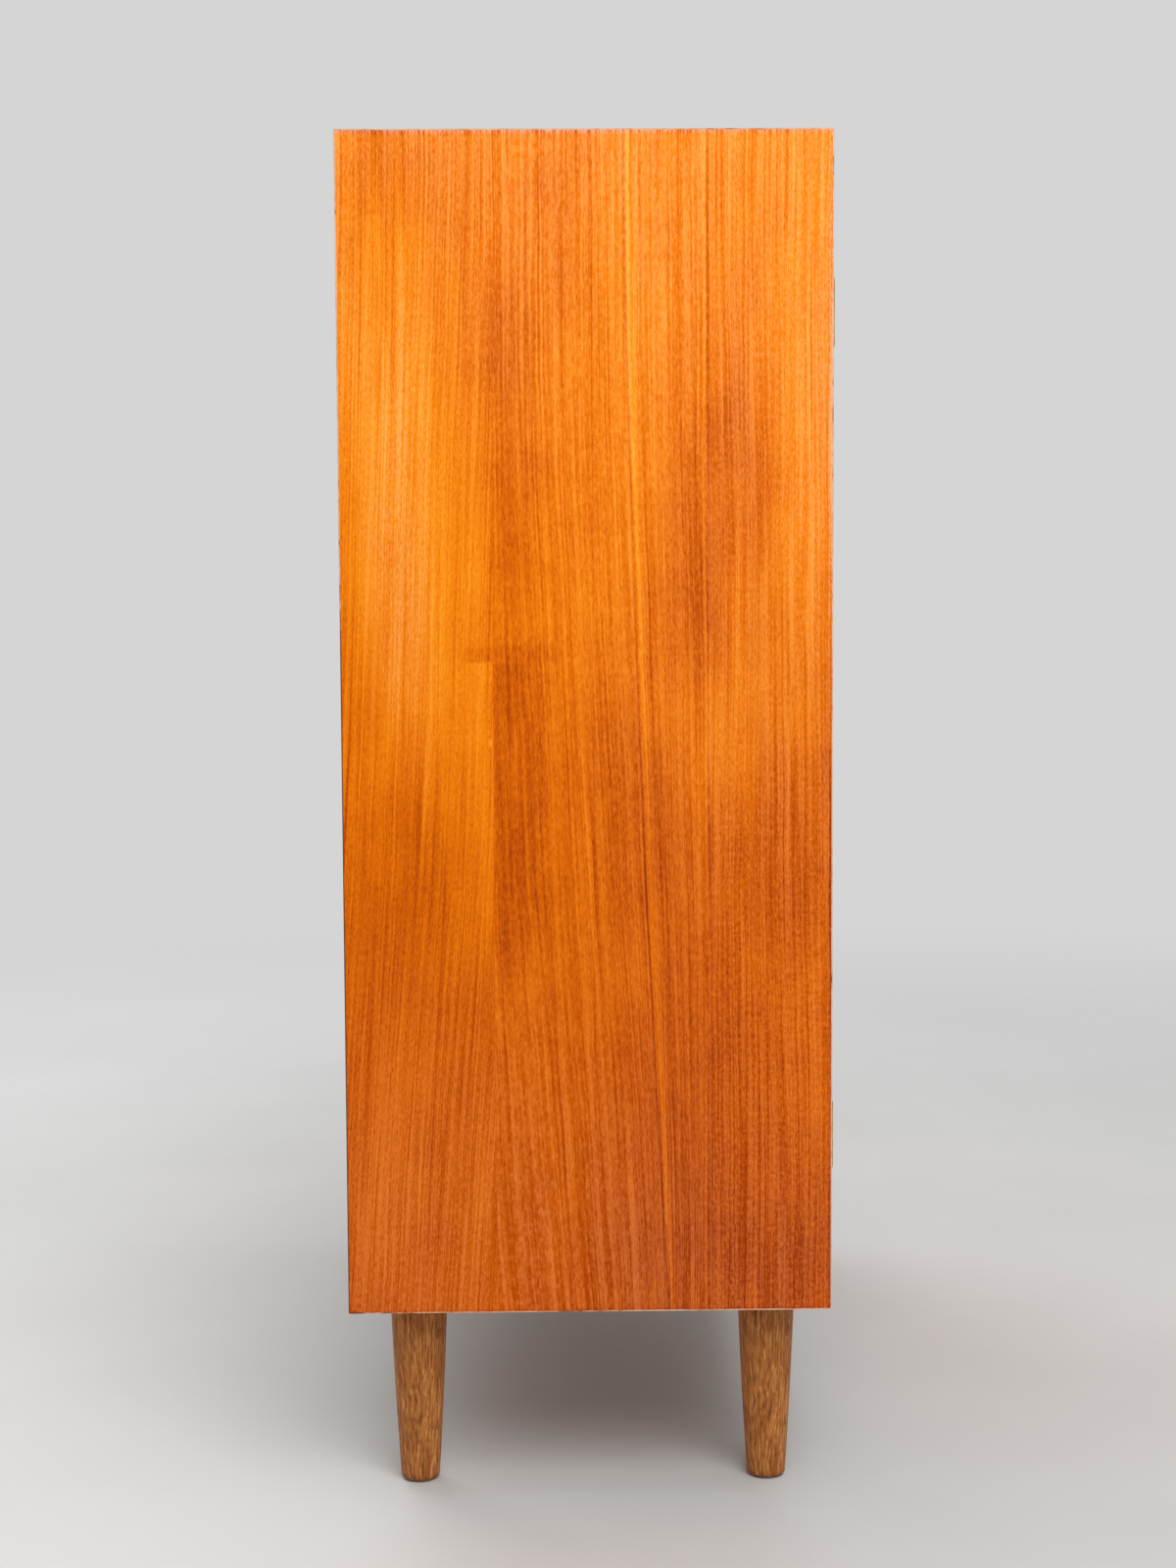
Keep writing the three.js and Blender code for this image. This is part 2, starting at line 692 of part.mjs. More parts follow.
// A pan-headed screw from the door's inner face into the handle's foot, its axis on Z.
function handleScrew() {
  const r = HANDLE_SCREW_RADIUS;
  const shankEnd = -(DOOR_THICKNESS + HANDLE_SCREW_BITE);
  const points = [
    [0, shankEnd],
    [r / 2, shankEnd],
    [r, shankEnd + r],
    [r, 0],
    [HANDLE_SCREW_HEAD_RADIUS, 0],
    [HANDLE_SCREW_HEAD_RADIUS, 0.4 * HANDLE_SCREW_HEAD],
    [0.6 * HANDLE_SCREW_HEAD_RADIUS, HANDLE_SCREW_HEAD],
    [0, HANDLE_SCREW_HEAD],
  ];
  return turned(points, PIN_SIDES);
}

function makeHandle(name, side) {
  const group = new THREE.Group();
  group.add(piece(`handle_${name}`, handle(side * handleX), TEAK));
  for (const [height, z] of Object.entries(handleScrewZs)) {
    const screw = piece(`handle_screw_${name}_${height}`, handleScrew(), STEEL);
    screw.position.set(side * handleX, DOOR_THICKNESS + FIT, z);
    screw.rotation.x = -Math.PI / 2;
    group.add(screw);
  }
  return group;
}

// ---------------------------------------------------------------- lock and key

function lockCase() {
  const z = [KEYHOLE_HEIGHT - LOCK_BELOW_KEY, KEYHOLE_HEIGHT + LOCK_ABOVE_KEY];
  const y = [lockFrontY, lockFrontY + LOCK_THICKNESS];
  const x = [meetingX, meetingX + LOCK_WIDTH];
  const room = block(
    [meetingX + FACEPLATE_THICKNESS, x[1] - LOCK_WALL],
    [y[0] + LOCK_WALL, y[1] - LOCK_WALL],
    [z[0] + LOCK_WALL, z[1] - LOCK_WALL],
  );
  return shaped(
    [block(x, y, z), edgePlate([meetingX, meetingX + FACEPLATE_THICKNESS], faceplateZ, 0)],
    [
      room,
      lockBoltBar([meetingX - CUT, meetingX + FACEPLATE_THICKNESS + CUT], FIT),
      slab(keyholeOutline(keyX, KEYHOLE_HEIGHT), [y[0] - CUT, y[0] + LOCK_WALL + CUT]),
    ],
  );
}

// The key in its own frame: its axis on Y through the origin, y 0 at the door's front face.
function key() {
  const tipY = lockFrontY + LOCK_THICKNESS - LOCK_WALL - KEY_TIP_CLEARANCE;
  const bowMiddle = -KEY_REACH + KEY_BOW_LENGTH / 2;
  const shankLength = tipY + KEY_REACH - KEY_BOW_LENGTH + KEY_BOW_RIM / 2;
  const rodAlongY = (radius, length, middle) =>
    new THREE.CylinderGeometry(radius, radius, length, BOLT_SIDES).translate(0, middle, 0);
  const ring = new THREE.Shape();
  ring.absellipse(0, 0, KEY_BOW_WIDTH / 2, KEY_BOW_LENGTH / 2, 0, 2 * Math.PI, false);
  const hole = new THREE.Path();
  hole.absellipse(
    0,
    0,
    KEY_BOW_WIDTH / 2 - KEY_BOW_RIM,
    KEY_BOW_LENGTH / 2 - KEY_BOW_RIM,
    0,
    2 * Math.PI,
    true,
  );
  ring.holes.push(hole);
  const settings = { depth: KEY_BOW_THICKNESS, bevelEnabled: false, curveSegments: CURVE_STEPS };
  const bow = new THREE.ExtrudeGeometry(ring, settings)
    .translate(0, 0, -KEY_BOW_THICKNESS / 2)
    .rotateY(Math.PI / 2)
    .translate(0, bowMiddle, 0);
  const bitEnd = tipY - KEY_BIT_SETBACK;
  return shaped([
    bow,
    rodAlongY(KEY_SHANK_RADIUS, shankLength, tipY - shankLength / 2),
    rodAlongY(KEY_COLLAR_RADIUS, KEY_COLLAR_LENGTH, -KEY_COLLAR_REACH),
    block(
      [-KEY_BIT_THICKNESS / 2, KEY_BIT_THICKNESS / 2],
      [bitEnd - KEY_BIT_LENGTH, bitEnd],
      [-KEY_BIT_RADIUS, 0],
    ),
  ]);
}

function escutcheon() {
  const oval = new THREE.Shape();
  const z = KEYHOLE_HEIGHT - ESCUTCHEON_DROP;
  oval.absellipse(keyX, z, ESCUTCHEON_WIDTH / 2, ESCUTCHEON_HEIGHT / 2, 0, 2 * Math.PI, false);
  const keyhole = slab(keyholeOutline(keyX, KEYHOLE_HEIGHT), [-ESCUTCHEON_THICKNESS - CUT, CUT]);
  return shaped([slab(oval, [-ESCUTCHEON_THICKNESS, 0])], [keyhole]);
}

function strikePlate() {
  return shaped(
    [edgePlate([-meetingX - STRIKE_THICKNESS, -meetingX], strikeZ, 0)],
    [lockBoltBar([-meetingX - STRIKE_THICKNESS - CUT, -meetingX + CUT], STRIKE_CLEARANCE)],
  );
}

function makeLock() {
  return groupAt(
    0,
    0,
    0,
    piece("lock_case", lockCase(), BRASS),
    piece("lock_bolt", lockBoltBar([meetingX, meetingX + LOCK_BOLT_LENGTH], 0), BRASS),
    piece("escutcheon", escutcheon(), BRASS),
    piece("strike_plate", strikePlate(), BRASS),
    groupAt(keyX, 0, KEYHOLE_HEIGHT, piece("key", key(), BRASS)),
  );
}

// ---------------------------------------------------------------- slide bolts
// The slide bolt frame: the door's inner face at y 0, the door's end at z 0, the door below it.

// The bracket: a plate with two loops that guide the bolt.
function slideBracket() {
  const plate = block(
    [-SLIDE_PLATE_WIDTH / 2, SLIDE_PLATE_WIDTH / 2],
    [0, SLIDE_PLATE_THICKNESS],
    [-SLIDE_PLATE_FROM_END - SLIDE_PLATE_LENGTH, -SLIDE_PLATE_FROM_END],
  );
  const half = SLIDE_BOLT_RADIUS + FIT + SLIDE_LOOP_WALL;
  const loops = [
    -SLIDE_PLATE_FROM_END - SLIDE_LOOP_FROM_END - SLIDE_LOOP_LENGTH,
    -SLIDE_PLATE_FROM_END - SLIDE_PLATE_LENGTH + SLIDE_LOOP_FROM_END,
  ].map((z) =>
    block([-half, half], [SLIDE_PLATE_THICKNESS / 2, slideBoltY + half], [z, z + SLIDE_LOOP_LENGTH]),
  );
  const bore = post(
    SLIDE_BOLT_RADIUS + FIT,
    [-SLIDE_PLATE_FROM_END - SLIDE_PLATE_LENGTH - CUT, 0],
    BOLT_SIDES,
  ).translate(0, slideBoltY, 0);
  return shaped([plate, ...loops], [bore]);
}

// The bolt: a round rod with a knob between the bracket's loops.
function slideBolt() {
  const tip = -SLIDE_BOLT_SHY;
  const rod = post(SLIDE_BOLT_RADIUS, [tip - SLIDE_BOLT_LENGTH, tip], BOLT_SIDES).translate(
    0,
    slideBoltY,
    0,
  );
  const plateMiddle = -SLIDE_PLATE_FROM_END - SLIDE_PLATE_LENGTH / 2;
  const knobY = [slideBoltY, slideBoltY + SLIDE_BOLT_RADIUS + SLIDE_KNOB_REACH];
  const knob = new THREE.CylinderGeometry(
    SLIDE_KNOB_RADIUS,
    SLIDE_KNOB_RADIUS,
    knobY[1] - knobY[0],
    BOLT_SIDES,
  ).translate(0, (knobY[0] + knobY[1]) / 2, plateMiddle - SLIDE_BOLT_THROW / 2);
  return shaped([rod, knob]);
}

function makeSlideBolts() {
  const bolts = new THREE.Group();
  for (const [where, z] of Object.entries({ top: doorHeadZ, bottom: doorFootZ })) {
    const bolt = groupAt(
      slideBoltX,
      DOOR_THICKNESS,
      z,
      piece(`slide_bolt_bracket_${where}`, slideBracket(), BRASS),
      piece(`slide_bolt_${where}`, slideBolt(), BRASS),
    );
    if (where === "bottom") bolt.rotation.y = Math.PI; // the same bolt turned over
    bolts.add(bolt);
  }
  return bolts;
}

function makeDoors() {
  const doors = new THREE.Group();
  doors.add(
    piece("door_left", leftDoor(), TEAK),
    piece("door_right", rightDoor(), TEAK),
    makeHandle("left", -1),
    makeHandle("right", 1),
    makeLock(),
    makeSlideBolts(),
  );
  return doors;
}

// ---------------------------------------------------------------- inside

// A cup that holds one end of the rail, its foot on z 0 and its mouth up.
function railSocket() {
  const bore = RAIL_RADIUS + FIT;
  const points = [
    [0, 0],
    [SOCKET_RADIUS, 0],
    [SOCKET_RADIUS, SOCKET_BASE],
    [SOCKET_COLLAR_RADIUS, SOCKET_BASE + SOCKET_BEVEL],
    [SOCKET_COLLAR_RADIUS, SOCKET_LENGTH],
    [bore, SOCKET_LENGTH],
    [bore, SOCKET_BASE],
    [0, SOCKET_BASE],
  ];
  return turned(points, RAIL_SIDES);
}

function makeRail() {
  const left = -innerX + FIT;
  const right = -dividerX - FIT;
  const length = right - left - 2 * (SOCKET_BASE + FIT);
  const rail = piece("hanging_rail", post(RAIL_RADIUS, [-length / 2, length / 2], RAIL_SIDES), BEECH);
  rail.position.set((left + right) / 2, railY, railZ);
  rail.rotation.y = Math.PI / 2;
  const sockets = { left: [left, 1], right: [right, -1] };
  const group = new THREE.Group();
  group.add(rail);
  for (const [side, [x, facing]] of Object.entries(sockets)) {
    const socket = piece(`rail_socket_${side}`, railSocket(), BRASS);
    socket.position.set(x, railY, railZ);
    socket.rotation.y = (facing * Math.PI) / 2;
    group.add(socket);
  }
  return group;
}

// A shelf pin on Z: its foot in the board below z 0, a collar, and a peg above.
function shelfPin() {
  const r = PIN_RADIUS;
  const points = [
    [0, -PIN_IN_BOARD],
    [r, -PIN_IN_BOARD],
    [r, FIT],
    [PIN_COLLAR_RADIUS, FIT],
    [PIN_COLLAR_RADIUS, FIT + PIN_COLLAR],
    [r, FIT + PIN_COLLAR],
    [r, PIN_OUT],
    [0, PIN_OUT],
  ];
  return turned(points, PIN_SIDES);
}

function makeShelves() {
  const names = ["lower", "upper"];
  const ends = { left: [dividerX, 1], right: [innerX, -1] };
  const group = new THREE.Group();
  SHELF_HEIGHTS.forEach((z, i) => {
    const board = block(
      [dividerX + SHELF_END_GAP, innerX - SHELF_END_GAP],
      [DOOR_THICKNESS + SHELF_FRONT_SETBACK, backY - SHELF_REAR_GAP],
      [z, z + SHELF_THICKNESS],
    );
    group.add(piece(`shelf_${names[i]}`, board, TEAK));
    for (const [side, [x, facing]] of Object.entries(ends))
      for (const [row, y] of Object.entries(pinYs)) {
        const pin = piece(`shelf_pin_${names[i]}_${row}_${side}`, shelfPin(), BRASS);
        pin.position.set(x, y, pinZOf(z));
        pin.rotation.y = (facing * Math.PI) / 2;
        group.add(pin);
      }
  });
  return group;
}

// ---------------------------------------------------------------- wardrobe

const wardrobe = new THREE.Group();
wardrobe.add(
  groupAt(
    0,
    frontReach - (CASE_DEPTH + frontReach) / 2,
    LEG_HEIGHT,
    makeCase(),
    makeLegs(),
    makeHinges(),
    makeDoors(),
    makeRail(),
    makeShelves(),
  ),
);

export default wardrobe;
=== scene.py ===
# %% [markdown]
# # A teak wardrobe on turned legs
#
# The real wardrobe is a veneered case with mitred corners, two inset doors, and four turned legs.
# The frame that is loaded here already holds every board, hinge and bolt at its true size. This
# notebook gives them what a drawing lacks: eased edges, figured veneer, turned wood, brass and wear.

# %% Tools and the frame
from contextlib import contextmanager
from itertools import count, product
from math import cos, pi, radians, sin

import bmesh
import bpy
from mathutils import Matrix, Vector


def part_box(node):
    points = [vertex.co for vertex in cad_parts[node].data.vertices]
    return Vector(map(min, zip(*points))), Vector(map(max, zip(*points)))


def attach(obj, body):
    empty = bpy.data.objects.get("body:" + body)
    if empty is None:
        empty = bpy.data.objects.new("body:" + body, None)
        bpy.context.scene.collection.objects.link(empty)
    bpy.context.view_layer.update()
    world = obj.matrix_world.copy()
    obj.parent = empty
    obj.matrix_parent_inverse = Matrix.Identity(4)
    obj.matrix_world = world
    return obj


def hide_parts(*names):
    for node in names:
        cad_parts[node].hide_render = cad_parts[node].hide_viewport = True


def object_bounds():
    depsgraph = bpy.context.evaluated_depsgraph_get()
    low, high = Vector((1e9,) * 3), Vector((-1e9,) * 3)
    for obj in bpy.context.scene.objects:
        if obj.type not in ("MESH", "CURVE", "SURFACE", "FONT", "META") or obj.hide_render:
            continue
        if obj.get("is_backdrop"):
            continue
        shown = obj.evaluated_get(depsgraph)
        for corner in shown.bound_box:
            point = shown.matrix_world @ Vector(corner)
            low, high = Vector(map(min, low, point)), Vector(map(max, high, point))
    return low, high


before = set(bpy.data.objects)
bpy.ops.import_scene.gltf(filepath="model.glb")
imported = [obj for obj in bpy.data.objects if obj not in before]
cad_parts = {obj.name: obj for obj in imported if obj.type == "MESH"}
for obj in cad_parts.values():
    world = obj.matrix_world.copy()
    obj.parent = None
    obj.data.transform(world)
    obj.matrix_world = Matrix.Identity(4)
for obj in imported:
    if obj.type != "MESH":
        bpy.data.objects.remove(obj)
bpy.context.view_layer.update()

# %% [markdown]
# All places come from the frame. The two side panels' boxes give the case's outer faces, and so
# where its front and back lie. The left side panel is seen square on, so a point on it is best
# given across from its middle and up from its foot.

# %% Places read from the frame
LEFT, RIGHT, FRONT, BACK, UP = (-1, 0, 0), (1, 0, 0), (0, -1, 0), (0, 1, 0), (0, 0, 1)
case_low, left_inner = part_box("side_panel_left")
right_inner, case_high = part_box("side_panel_right")
case_middle = (case_low + case_high) / 2
front_y, back_y = case_low.y, case_high.y
side_foot = Vector((0, case_middle.y, case_low.z))


def middle_of(node):
    """The middle of a CAD node's box."""
    low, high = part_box(node)
    return (low + high) / 2


print("case from", [round(c, 4) for c in case_low], "to", [round(c, 4) for c in case_high])

# %% [markdown]
# ## Camera
#
# The wardrobe is seen from its left side, a little to the right of the side panel's middle and from
# about chest height, through a slightly long lens. That keeps the panel's edges almost upright and
# hides the far legs behind the near ones. The camera is turned by three small angles, so its
# matrix is built from the directions that it looks along.

# %% Camera
LENS = 54.1  # millimetres, on a sensor 36 mm tall
CAMERA_AWAY = 2.296  # from the side panel
CAMERA_ASIDE = 0.033  # towards the back, from the panel's middle
CAMERA_UP = 0.692  # above the panel's foot
YAW, PITCH, ROLL = radians(0.83), radians(-4.15), radians(-0.31)

look = Vector((cos(YAW) * cos(PITCH), -sin(YAW) * cos(PITCH), sin(PITCH)))
level = Vector((-sin(YAW), -cos(YAW), 0))
upright = level.cross(look)
right = level * cos(ROLL) + upright * sin(ROLL)
up = upright * cos(ROLL) - level * sin(ROLL)

camera = bpy.data.objects.new("camera", bpy.data.cameras.new("camera"))
bpy.context.collection.objects.link(camera)
camera.data.lens = LENS
camera.data.clip_end = 60
eye = Vector((case_low.x - CAMERA_AWAY, case_middle.y + CAMERA_ASIDE, case_low.z + CAMERA_UP))
camera.matrix_world = Matrix.Translation(eye) @ Matrix((right, up, -look)).transposed().to_4x4()
bpy.context.scene.camera = camera
print("camera at", [round(c, 3) for c in eye])

# %% [markdown]
# ## Working by hand, in code
#
# Blender's operators act on whatever is selected, in whatever mode it is in. Three small helpers
# keep that under control: one makes an object the only selected one, one opens it in edit mode and
# closes it again, and one selects just those of its edges that pass a test.

# %% Helpers for edit mode
def choose(piece):
    """Makes piece the only selected object, and the active one."""
    bpy.ops.object.select_all(action="DESELECT")
    piece.select_set(True)
    bpy.context.view_layer.objects.active = piece


@contextmanager
def editing(piece, mode="FACE"):
    """Opens piece in edit mode with all of it selected, and goes back to object mode after."""
    choose(piece)
    bpy.ops.object.mode_set(mode="EDIT")
    bpy.ops.mesh.select_mode(type=mode)
    bpy.ops.mesh.select_all(action="SELECT")
    yield
    bpy.ops.object.mode_set(mode="OBJECT")


def pick(piece, test):
    """In edit mode, selects just the edges that pass the test."""
    bpy.ops.mesh.select_all(action="DESELECT")
    mesh = bmesh.from_edit_mesh(piece.data)
    found = [edge for edge in mesh.edges if test(edge)]
    for edge in found:
        edge.select_set(True)
    bmesh.update_edit_mesh(piece.data)
    return len(found)


print("edit mode helpers are ready")

# %% [markdown]
# ## Node helpers
#
# Materials here are built from nodes in code. A Term stands for what one node gives: a number, a
# place or a colour. Terms are added and multiplied like numbers, and each such step adds a Math
# node to the tree they are in, so a line of a material reads like a line of arithmetic. Other
# helpers open a node group: a piece of material with named inputs and outputs, which several share.

# %% Terms and nodes
def step(operation):
    """A method of Term that adds one Math node."""
    return lambda *values: maths(operation, *values)


class Term:
    """What one node gives. Sums and products of terms are terms too."""

    def __init__(self, socket):
        self.socket = socket

    def __rsub__(self, other):
        return maths("SUBTRACT", other, self)

    __add__ = __radd__ = step("ADD")
    __mul__ = __rmul__ = step("MULTIPLY")
    __sub__, __truediv__, __pow__, __abs__ = map(step, ("SUBTRACT", "DIVIDE", "POWER", "ABSOLUTE"))


def put(value, socket):
    """Links a term or an output to a socket, or writes a plain value on it. A tuple is a colour."""
    value = value.socket if isinstance(value, Term) else value
    if isinstance(value, bpy.types.NodeSocket):
        socket.id_data.links.new(value, socket)
    else:
        socket.default_value = (*value, 1.0) if isinstance(value, tuple) else value


def add(kind, inputs, tree=None, **settings):
    """Adds a shader node, in the tree of its inputs. inputs maps a socket's name or number to a value."""
    tree = tree or next(value.socket.id_data for value in inputs.values() if isinstance(value, Term))
    made = tree.nodes.new("ShaderNode" + kind)
    for name, value in settings.items():
        setattr(made, name, value)
    for name, value in inputs.items():
        put(value, made.inputs[name])
    return made


def term(kind, inputs, output=0, tree=None, **settings):
    """Adds a shader node, and gives one of its outputs as a term."""
    return Term(add(kind, inputs, tree, **settings).outputs[output])


def maths(operation, *values):
    """One Math node, from terms and numbers."""
    return term("Math", dict(enumerate(values)), operation=operation)


print("terms can be added, multiplied and linked")

# %% Helpers for numbers, noise and colour
def length(x, y):
    """How far a point is from the origin, in two directions."""
    return maths("SQRT", x * x + y * y)


def smooth(value, low, high, to_low=0.0, to_high=1.0):
    """Eases from to_low to to_high as value goes from low to high."""
    limits = {"Value": value, "From Min": low, "From Max": high, "To Min": to_low, "To Max": to_high}
    return term("MapRange", limits, "Result", interpolation_type="SMOOTHSTEP")


def window(value, low, high, low_edge, high_edge):
    """One between low and high, and nothing outside, with an edge of its own width at each end."""
    inside = smooth(value, low - low_edge, low + low_edge)
    return inside - smooth(value, high - high_edge, high + high_edge)


def parts(vector):
    """The three parts of a place."""
    return [Term(output) for output in add("SeparateXYZ", {0: vector}).outputs]


def noise(x, y, z, scales, detail=2.0, roughness=0.5):
    """Soft noise from three coordinates, each with its own scale: how many lumps go in a metre."""
    point = term("CombineXYZ", {i: c * scale for i, (c, scale) in enumerate(zip((x, y, z), scales))})
    inputs = {"Vector": point, "Scale": 1.0, "Detail": detail, "Roughness": roughness}
    return term("TexNoise", inputs, "Fac")


def wave(*place, **kind):
    """Noise that swings round nought."""
    return noise(*place, **kind) - 0.5


def ramp(value, stops):
    """A colour ramp. stops holds (place, colour) pairs, in order."""
    made = add("ValToRGB", {"Fac": value})
    elements = made.color_ramp.elements
    while len(elements) < len(stops):
        elements.new(0.5)
    for element, (place, colour) in zip(elements, stops):
        element.position = place
        element.color = (*colour, 1)
    return Term(made.outputs["Color"])


def blend(factor, first, second, mode="MIX"):
    """Mixes two colours."""
    inputs = {0: factor, 6: first, 7: second}
    return term("Mix", inputs, 2, data_type="RGBA", blend_type=mode)


def stain(colour, amount, tone):
    """A colour darkened by a tone."""
    return blend(amount, colour, tone, "MULTIPLY")


print("number, noise and colour helpers are ready")

# %% Helpers for groups and materials
def open_group(name, inputs, outputs):
    """A new node group, from its sockets' names: its tree, its inputs, and its output node."""
    tree = bpy.data.node_groups.new(name, "ShaderNodeTree")
    for in_out, names in (("INPUT", inputs), ("OUTPUT", outputs)):
        for socket_name in names:
            kind = "NodeSocketVector" if socket_name == "Vector" else "NodeSocketFloat"
            tree.interface.new_socket(socket_name, in_out=in_out, socket_type=kind)
    given = tree.nodes.new("NodeGroupInput").outputs
    return tree, {key: Term(given[key]) for key in inputs}, tree.nodes.new("NodeGroupOutput")


def give(result, **values):
    """Links a group's outputs."""
    for name, value in values.items():
        put(value, result.inputs[name])


def use_group(group, **values):
    """Places a group beside the terms that it is given."""
    return {output.name: Term(output) for output in add("Group", values, node_tree=group).outputs}


def open_material(name):
    """A new material, its Principled BSDF, and the place of a point in its object."""
    material = bpy.data.materials.new(name)
    material.use_nodes = True
    tree = material.node_tree
    return material, tree.nodes["Principled BSDF"], term("TexCoord", {}, "Object", tree)


def grain(position, across, along, middle):
    """Object coordinates as across, through and along the grain, measured from middle."""
    across, along = Vector(across), Vector(along)
    turn = Matrix((across, along.cross(across), along))
    inputs = {"Vector": position, "Rotation": turn.to_euler(), "Location": turn @ -Vector(middle)}
    return term("Mapping", inputs)


def cover(surface, colour, roughness, specular=0.5, metallic=0.0, relief=None, bump=0.3, depth=0.0002):
    """Wires up a Principled BSDF. depth is how high the bumps of the relief are."""
    inputs = {"Base Color": colour, "Roughness": roughness, "Metallic": metallic}
    inputs["Specular IOR Level"] = specular
    if relief:
        inputs["Normal"] = term("Bump", {"Strength": bump, "Distance": depth, "Height": relief})
    for name, value in inputs.items():
        put(value, surface.inputs[name])


print("group and material helpers are ready")

# %% [markdown]
# ## Teak veneer
#
# Teak veneer is sliced so thin that one log gives many nearly equal leaves. They are laid side by
# side with straight seams between them. Down each leaf run the growth rings as fine irregular
# lines, nearly parallel, which fan out a little towards the foot. Everything is drawn from three
# coordinates: across the grain, through the board, and along the grain, in metres. Noise that is
# stretched along the grain gives lines, and noise on several scales gives bands, lines and silk.

# %% Teak figure, as a node group
LEAF_WIDTH = 0.212
LEAF_CHANGE = 0.37  # how unlike each leaf is to the next
PANEL_HEIGHT = 1.155
FAN_BEND = 1.6
ARCH_STEEPNESS, ARCH_FOOT, ARCH_SPREAD = 0.15, 0.03, 1.1


def fan(along):
    """How far lines have fanned out: nothing at the panel's top, and one at its foot."""
    return maths("MAXIMUM", 1.0 - along / PANEL_HEIGHT, 0.0) ** FAN_BEND


def lean(across, leaf, along, amount):
    """How far a line has moved sideways, at this height, from where it is at the board's top.

    The leaf left of the first seam leans left, and the one right of it leans right.
    """
    right = smooth(across, -0.15, -0.02) - smooth(across, 0.05, 0.125)
    is_left = maths("LESS_THAN", leaf, -0.5)
    return (right - is_left * (right + 1.3)) * fan(along) * amount


def crown(across, along):
    """Distance from the log's heart: its contours are the tall arches of crown-cut veneer."""
    return length(across, along * ARCH_STEEPNESS + ARCH_FOOT) * ARCH_SPREAD


teak_figure, given, result = open_group(
    "teak_figure", ["Vector", "Seed", "Seam", "Lean", "Crown"],
    ["Lines", "Silk", "Pores", "Ripple", "Cloud"],
)
across, deep, along = parts(given["Vector"])
leaf = maths("FLOOR", (across - given["Seam"]) / LEAF_WIDTH)
deep = deep + given["Seed"] + leaf * LEAF_CHANGE
shifted = lean(across, leaf, along, given["Lean"])
shifted += wave(across, deep, along, (7, 1, 1.6), detail=1.0) * 0.016
shifted += wave(across, deep, along, (22, 1, 11)) * 0.0035
straight = across - shifted
bent = straight + given["Crown"] * (crown(straight, along) - straight)
slow = along * (1.0 - given["Crown"] * 0.75)
rings = noise(bent, deep, slow, (115, 1, 1.3), detail=1.0)
fibre = noise(bent, deep, slow, (340, 1, 3.0), detail=1.0, roughness=0.6)
ridge = abs(wave(bent, deep + 4.7, slow, (70, 1, 0.6), detail=1.0))
lines = wave(bent, deep, slow, (30, 1, 1.4), detail=1.0) * 0.18
lines += smooth(rings, 0.32, 0.68, -0.5, 0.5) * 0.045
lines += smooth(fibre, 0.25, 0.75, -0.5, 0.5) * 0.24
lines += wave(straight, deep, along, (600, 1, 5), detail=1.0) * 0.80
lines -= smooth(ridge, 0.022, 0.002) * 0.085
speck = noise(straight, deep, along, (1500, 40, 110), detail=1.0)
give(
    result,
    Lines=lines,
    Silk=wave(straight, deep, along, (620, 1, 190), roughness=0.6),
    Pores=smooth(speck, 0.6, 0.72),
    Ripple=wave(across, deep, along, (150, 1, 260), roughness=0.6),
    # The cloud output is soft painted sheen: patches where a leaf throws light back unevenly.
    Cloud=wave(across, deep, along, (8, 1, 2.6), roughness=0.45),
)
print("teak_figure has", len(teak_figure.nodes), "nodes")
